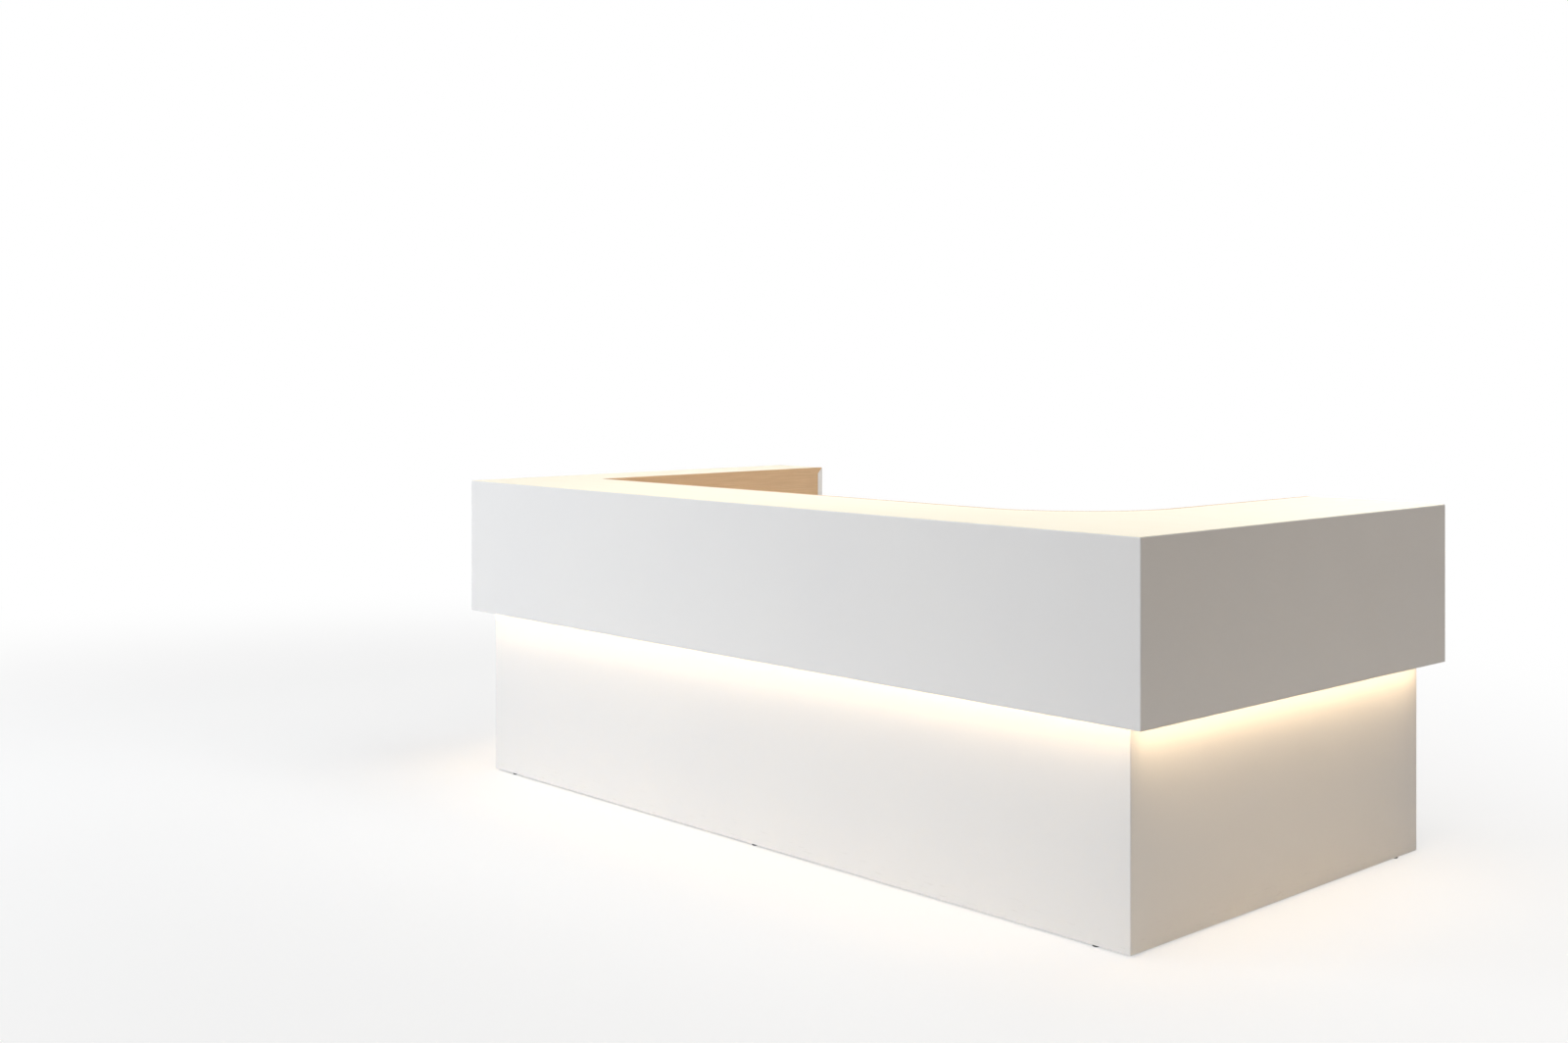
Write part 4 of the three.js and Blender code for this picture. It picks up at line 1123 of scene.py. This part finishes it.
# %% Punch the tray and round its folds
TIE_PITCH, TIE_LENGTH, TIE_WIDTH, TIE_FROM_SIDE = 0.075, 0.030, 0.006, 0.028
ties = int((high.x - low.x) / TIE_PITCH)
for y in (low.y + TIE_FROM_SIDE, high.y - TIE_FROM_SIDE):
    tie_low = (low.x + (TIE_PITCH - TIE_LENGTH) / 2, y - TIE_WIDTH / 2, low.z - SHEET)
    tie = block("tie", tie_low, (tie_low[0] + TIE_LENGTH, y + TIE_WIDTH / 2, low.z + 2 * SHEET))
    cut(tray, row(tie, ties, (TIE_PITCH, 0, 0)))
ease(tray, SMALL_EASE, 2, 50)
dress(tray, POWDER_COAT, ["cable_tray"])
print("tray:", len(tray.data.polygons), "faces,", 2 * ties, "slots")

# %% [markdown]
# ## The drawer pedestal
# The carcass is a block that loses its drawer space, its toe recess and the dead room under its
# floor. The drawer fronts have no handles: the upper edge is scooped out behind a thin lip, and
# fingers reach over it. The scoop is cut with a block whose lower edge is rounded first. One front
# is made; the other two are copies, one with a hole for the lock and one pulled down to its depth.

# %% The carcass
KICK, KICK_RECESS = 0.058, 0.04
case_low, case_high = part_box("pedestal_carcass")
carcass = block("pedestal_case", case_low, case_high)
x0, x1, case_end = case_low.x + PANEL, case_high.x - PANEL, case_high.y + CLEAR
inside_y, toe_y, floor_z = case_low.y + PANEL, case_high.y - KICK_RECESS, KICK - PANEL
notch(carcass, (x0, inside_y, KICK), (x1, case_end, case_high.z - PANEL))
notch(carcass, (case_low.x - CLEAR, toe_y, -CLEAR), (case_high.x + CLEAR, case_end, floor_z))
notch(carcass, (x0, inside_y, -CLEAR), (x1, toe_y - PANEL, floor_z))
ease(carcass, CHAMFER)
dress(carcass, SPRAYED_WHITE, ["pedestal_carcass"])
print("carcass:", len(carcass.data.polygons), "faces")

# %% Scooped fronts
LIP, SCOOP, SCOOP_STEPS = 0.005, 0.022, 10
LOCK_HOLE, LOCK_FROM_SIDE, LOCK_FROM_TOP = 0.0074, 0.062, 0.037


def scoop(low, high, axis, corner):
    tool = block("scoop", low, high)
    round_edges(tool, running(axis, **corner), PANEL - LIP, SCOOP_STEPS)
    return tool


def step_to(kind, where):
    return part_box(f"{kind}_{where}")[0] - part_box(f"{kind}_middle")[0]


low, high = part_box("drawer_front_middle")
corner = {"y": high.y - LIP, "z": high.z - SCOOP}
fronts = {"middle": block("middle_drawer_front", low, high)}
scoop_low = (low.x - CLEAR, low.y - CLEAR, corner["z"])
scoop_high = (high.x + CLEAR, corner["y"], high.z + CLEAR)
cut(fronts["middle"], scoop(scoop_low, scoop_high, "x", corner))
fronts["top"] = copy_to(fronts["middle"], "top_drawer_front", step_to("drawer_front", "top"))
top_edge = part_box("drawer_front_top")[1]
lock_at = Vector((case_high.x - LOCK_FROM_SIDE, top_edge.y, top_edge.z - LOCK_FROM_TOP))
cut(fronts["top"], rod("lock_hole", lock_at, LOCK_HOLE, CLEAR, "y"))
deep_low, deep_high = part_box("drawer_front_bottom")
fronts["bottom"] = copy_to(fronts["middle"], "bottom_drawer_front", (0, 0, deep_high.z - high.z))
lower_edge = deep_high.z - (high.z - low.z)
shift(fronts["bottom"], at(z=lower_edge), (0, 0, deep_low.z - lower_edge))
for where, front in fronts.items():
    ease(front, SOFT_EASE, 3)
    dress(front, SPRAYED_WHITE, [f"drawer_front_{where}"], f"drawer_{where}")
print("fronts:", {where: rounded(front.dimensions) for where, front in fronts.items()})

# %% [markdown]
# ## Runners and boxes
# The boxes slide on plastic runners, which are fixed to the carcass and sit in grooves in the
# boxes' sides. One runner is blocked out with a rounded nose, mirrored for the other side and
# copied up and down. A box is a block whose top is inset by the ply's thickness and pushed down to
# its floor. The grooves are cut with the runners' own sizes, so that they always match.

# %% Runners
NOSE, NOSE_STEPS = 0.0032, 4


def mirror_to(piece, name, axis, value):
    mirrored = copy_to(piece, name)
    scale, middle = Vector((1, 1, 1)), Vector((0, 0, 0))
    scale[AXES[axis]], middle[AXES[axis]] = -1, value
    pick_all(mirrored)
    bpy.ops.transform.resize(value=scale, center_override=middle)
    return close_up(mirrored)


rail_low, rail_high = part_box("runner_middle_left")
between_rails = (rail_low.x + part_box("runner_middle_right")[1].x) / 2
rail = block("middle_left_rail", rail_low, rail_high)
round_edges(rail, running("y", x=rail_high.x), NOSE, NOSE_STEPS)
rails = {("middle", "left"): rail}
rails["middle", "right"] = mirror_to(rail, "middle_right_rail", "x", between_rails)
for where in ("top", "bottom"):
    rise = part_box(f"runner_{where}_left")[0] - rail_low
    for side in ("left", "right"):
        rails[where, side] = copy_to(rails["middle", side], f"{where}_{side}_rail", rise)
for (where, side), rail in rails.items():
    dress(rail, PALE_MOULDING, [f"runner_{where}_{side}"])
print("runners:", [rail.name for rail in rails.values()])

# %% Drawer boxes
WALL_PLY, FLOOR_PLY = 0.012, 0.008
RUNNING_ROOM = Vector((0.0004, CLEAR, 0.0004))
low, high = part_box("drawer_box_middle")
box = block("middle_drawer_box", low, high)
pick(box, "faces", facing("z"))
bpy.ops.mesh.inset(thickness=WALL_PLY, depth=0)
down = (0, 0, low.z + FLOOR_PLY - high.z)
bpy.ops.mesh.extrude_region_move(TRANSFORM_OT_translate={"value": down})
done()
for side in ("left", "right"):
    rail_low, rail_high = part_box(f"runner_middle_{side}")
    notch(box, rail_low - RUNNING_ROOM, rail_high + RUNNING_ROOM)
boxes = {"middle": box}
for where in ("top", "bottom"):
    boxes[where] = copy_to(box, f"{where}_drawer_box", step_to("drawer_box", where))
deep_low, deep_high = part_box("drawer_box_bottom")
upper_edge = deep_low.z + high.z - low.z
shift(boxes["bottom"], at(z=upper_edge), (0, 0, deep_high.z - upper_edge))
print("boxes:", {where: rounded(box.dimensions) for where, box in boxes.items()})

# %% Ply on the boxes
def on_rim(face):
    return facing("z")(face) and face.center.z > high.z - CLOSE


def on_side(face):
    return low.y + WALL_PLY < face.center.y < high.y - WALL_PLY


for where, box in boxes.items():
    low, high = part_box(f"drawer_box_{where}")
    dress(ease(box, SMALL_EASE), BIRCH_Y, [f"drawer_box_{where}"], f"drawer_{where}")
    give(box, BIRCH_X, square_to("y"))
    give(box, BIRCH_EDGE_X, lambda face: on_rim(face) and on_side(face))
    give(box, BIRCH_EDGE_Y, lambda face: on_rim(face) and not on_side(face))
print("finishes on a box:", [item.name for item in box.data.materials])

# %% [markdown]
# ## The lock
# A cam lock sits in the top drawer's front: a steel barrel with a flat rose, a slot for the key and
# a cam behind. The barrel and the rose are one section on the lathe. The slot is cut, and the cam
# is a small plate that is joined to the barrel, because the two turn together.

# %% The lock
BARREL, BARREL_LENGTH, PLUG = 0.007, 0.020, 0.005
ROSE, ROSE_HEIGHT = 0.009, 0.002
KEYWAY, KEYWAY_LENGTH, CAM_THICKNESS, CAM_WIDTH = 0.0016, 0.0064, 0.003, 0.009


def gather(*pieces):
    activate(pieces[0])
    for piece in pieces[1:]:
        piece.select_set(True)
    bpy.ops.object.join()
    return pieces[0]


lock_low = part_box("lock_barrel")[0]
lock_section = [
    (0, BARREL_LENGTH), (BARREL, BARREL_LENGTH), (BARREL, -FIT), (ROSE, -FIT),
    (ROSE, CHAMFER - ROSE_HEIGHT), (ROSE - 0.0008, -ROSE_HEIGHT), (PLUG + 0.0002, -ROSE_HEIGHT),
    (PLUG, 0.0004 - ROSE_HEIGHT), (PLUG - 0.0003, -ROSE_HEIGHT), (0, -ROSE_HEIGHT),
]
lock = turn("cam_lock", lock_section, lock_at, "y")
key_half = Vector((KEYWAY / 2, CLEAR, KEYWAY_LENGTH / 2))
key_low = Vector((lock_at.x - key_half.x, lock_at.y, lock_at.z - key_half.z))
notch(lock, key_low, lock_at + key_half)
cam_low = (lock_low.x, lock_low.y, lock_at.z - CAM_WIDTH / 2)
cam_high = (lock_at.x + CAM_WIDTH / 2, lock_low.y + CAM_THICKNESS, lock_at.z + CAM_WIDTH / 2)
cam = ease(block("cam", cam_low, cam_high), SMALL_EASE)
dress(gather(lock, cam), BRUSHED_STEEL, ["lock_barrel"], "drawer_lock")
print("lock:", rounded(lock.dimensions))

# %% [markdown]
# ## The cupboard's doors
# The doors are scooped like the drawers, along their meeting edges, and turn on steel pivots that
# stick up and down into bores in the door. A pivot is a small plate with a pin. One door and one
# pivot are made, and the rest are mirrored copies: over the doors' meeting line, and over half of
# their height for the upper pivots.

# %% Doors
PIN, PIN_ROOM, PIN_DEPTH = 0.003, 0.0003, 0.013
PIVOT_FROM_EDGE = 0.010
low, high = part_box("cupboard_door_front")
meeting_line = (low.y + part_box("cupboard_door_back")[1].y) / 2
door = block("front_door", low, high)
corner = {"x": low.x + LIP, "y": high.y - SCOOP}
scoop_low = (corner["x"], corner["y"], low.z - CLEAR)
scoop_high = (high.x + CLEAR, high.y + CLEAR, high.z + CLEAR)
cut(door, scoop(scoop_low, scoop_high, "z", corner))
pivot_x, pivot_y = (low.x + high.x) / 2, low.y + PIVOT_FROM_EDGE
for z in (low.z, high.z):
    cut(door, rod("bore", (pivot_x, pivot_y, z), PIN + PIN_ROOM, 2 * PIN_DEPTH, sides=32))
ease(door, SOFT_EASE, 3, 40)
doors = {"front": door, "back": mirror_to(door, "back_door", "y", meeting_line)}
for where, door in doors.items():
    dress(door, SPRAYED_WHITE, [f"cupboard_door_{where}"], f"door_{where}")
print("doors:", {where: rounded(door.dimensions) for where, door in doors.items()})

# %% Pivots
PIVOT_PLATE, SCREW_HOLE, SCREW_FROM_PIN = 0.0017, 0.0022, 0.022
low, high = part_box("pivot_front_lower")
plate_top = low.z + PIVOT_PLATE
plate = ease(block("front_lower_pivot", low, (high.x, high.y, plate_top)), FINE_EASE)
screw_at = (pivot_x, pivot_y + SCREW_FROM_PIN, plate_top)
cut(plate, rod("screw_hole", screw_at, SCREW_HOLE, PIVOT_PLATE, sides=24))
rise, foot = high.z - low.z, PIVOT_PLATE / 2
pin_section = [(0, foot), (PIN, foot), (PIN, rise - CHAMFER), (PIN - CHAMFER, rise), (0, rise)]
pin = turn("pin", pin_section, (pivot_x, pivot_y, low.z), sides=32)
half_height = (low.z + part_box("pivot_front_upper")[1].z) / 2
pivots = {("front", "lower"): gather(plate, pin)}
pivots["front", "upper"] = mirror_to(plate, "front_upper_pivot", "z", half_height)
for end in ("lower", "upper"):
    front = pivots["front", end]
    pivots["back", end] = mirror_to(front, f"back_{end}_pivot", "y", meeting_line)
for (where, end), pivot in pivots.items():
    dress(pivot, BRUSHED_STEEL, [f"pivot_{where}_{end}"])
print("pivots:", [pivot.name for pivot in pivots.values()])

# %% [markdown]
# ## Small fixings
# A desk is held together by fittings that show only from close by: screws through the driver's
# ears, caps over the gables' connectors and pins under the shelf. A screw is turned, its cross is
# cut, and the other is a copy. A cap and a pin are turned once too, mirrored for the faces that
# look the other way, and set out in rows. Each kind is gathered into one piece.

# %% Screws
HEAD, HEAD_HEIGHT, CROSS, CROSS_REACH = 0.0034, 0.0014, 0.0009, 0.6
ear_x = (driver_low.x + EAR / 2, driver_high.x - EAR / 2)
screw_section = [
    (0, 0), (HEAD, 0), (HEAD, -0.0005), (HEAD * 0.8, -0.0011),
    (HEAD * 0.4, -HEAD_HEIGHT), (0, -HEAD_HEIGHT),
]
screw = turn("driver_screws", screw_section, (ear_x[0], plate_y, middle.z), "y", 32)
arm, half = HEAD * CROSS_REACH, CROSS / 2
for wide, tall in ((arm, half), (half, arm)):
    low = (ear_x[0] - wide, plate_y + HEAD_HEIGHT / 2, middle.z - tall)
    notch(screw, low, (ear_x[0] + wide, plate_y + CLEAR, middle.z + tall))
other_screw = copy_to(screw, "other_screw", (ear_x[1] - ear_x[0], 0, 0))
dress(gather(screw, other_screw), BRUSHED_STEEL)
print("screws:", len(screw.data.polygons), "faces")

# %% Connector caps
CAP_RADIUS, CAP_HEIGHT, CAP_SKIRT, CAP_INSET = 0.008, 0.0010, 0.0004, 0.06
cap_section = [
    (0, 0), (CAP_RADIUS, 0), (CAP_RADIUS, CAP_SKIRT), (CAP_RADIUS - 0.001, CAP_HEIGHT),
    (0, CAP_HEIGHT),
]
facing_right = turn("facing_right", cap_section, (0, 0, 0), "x", 32)
facing_left = mirror_to(facing_right, "facing_left", "x", 0)
CAPPED_FACES = {
    "gable_caps": ("gable_middle", facing_left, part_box("gable_middle")[0].x),
    "caps_behind": ("gable_middle", facing_right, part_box("gable_middle")[1].x),
    "caps_right": ("gable_right", facing_left, INNER_RIGHT),
}
caps = []
for name, (node, one_cap, face_x) in CAPPED_FACES.items():
    low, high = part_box(node)
    four = copy_to(one_cap, name, (face_x, low.y + CAP_INSET, low.z + CAP_INSET))
    row(four, 2, (0, high.y - low.y - 2 * CAP_INSET, 0))
    caps.append(row(four, 2, (0, 0, high.z - low.z - 2 * CAP_INSET)))
for pattern in (facing_right, facing_left):
    bpy.data.objects.remove(pattern)
dress(gather(*caps), PALE_MOULDING)
print("caps:", 4 * len(CAPPED_FACES))

# %% Shelf pins
PEG, PEG_IN, PEG_OUT = 0.0024, 0.0065, 0.008
peg_section = [
    (0, -PEG_IN), (PEG, -PEG_IN), (PEG, PEG_OUT - FINE_EASE), (PEG - FINE_EASE, PEG_OUT),
    (0, PEG_OUT),
]
wall_y = base_high.y - BOARD
peg = turn("shelf_pegs", peg_section, (PIN_X[0], wall_y, shelf_low.z - PEG), "y", 24)
row(peg, 2, (PIN_X[1] - PIN_X[0], 0, 0))
half_shelf = (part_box("return_partition")[1].y + wall_y) / 2
pegs = gather(peg, mirror_to(peg, "pegs_in_front", "y", half_shelf))
dress(pegs, BRUSHED_STEEL)
print("pegs:", rounded(pegs.dimensions))
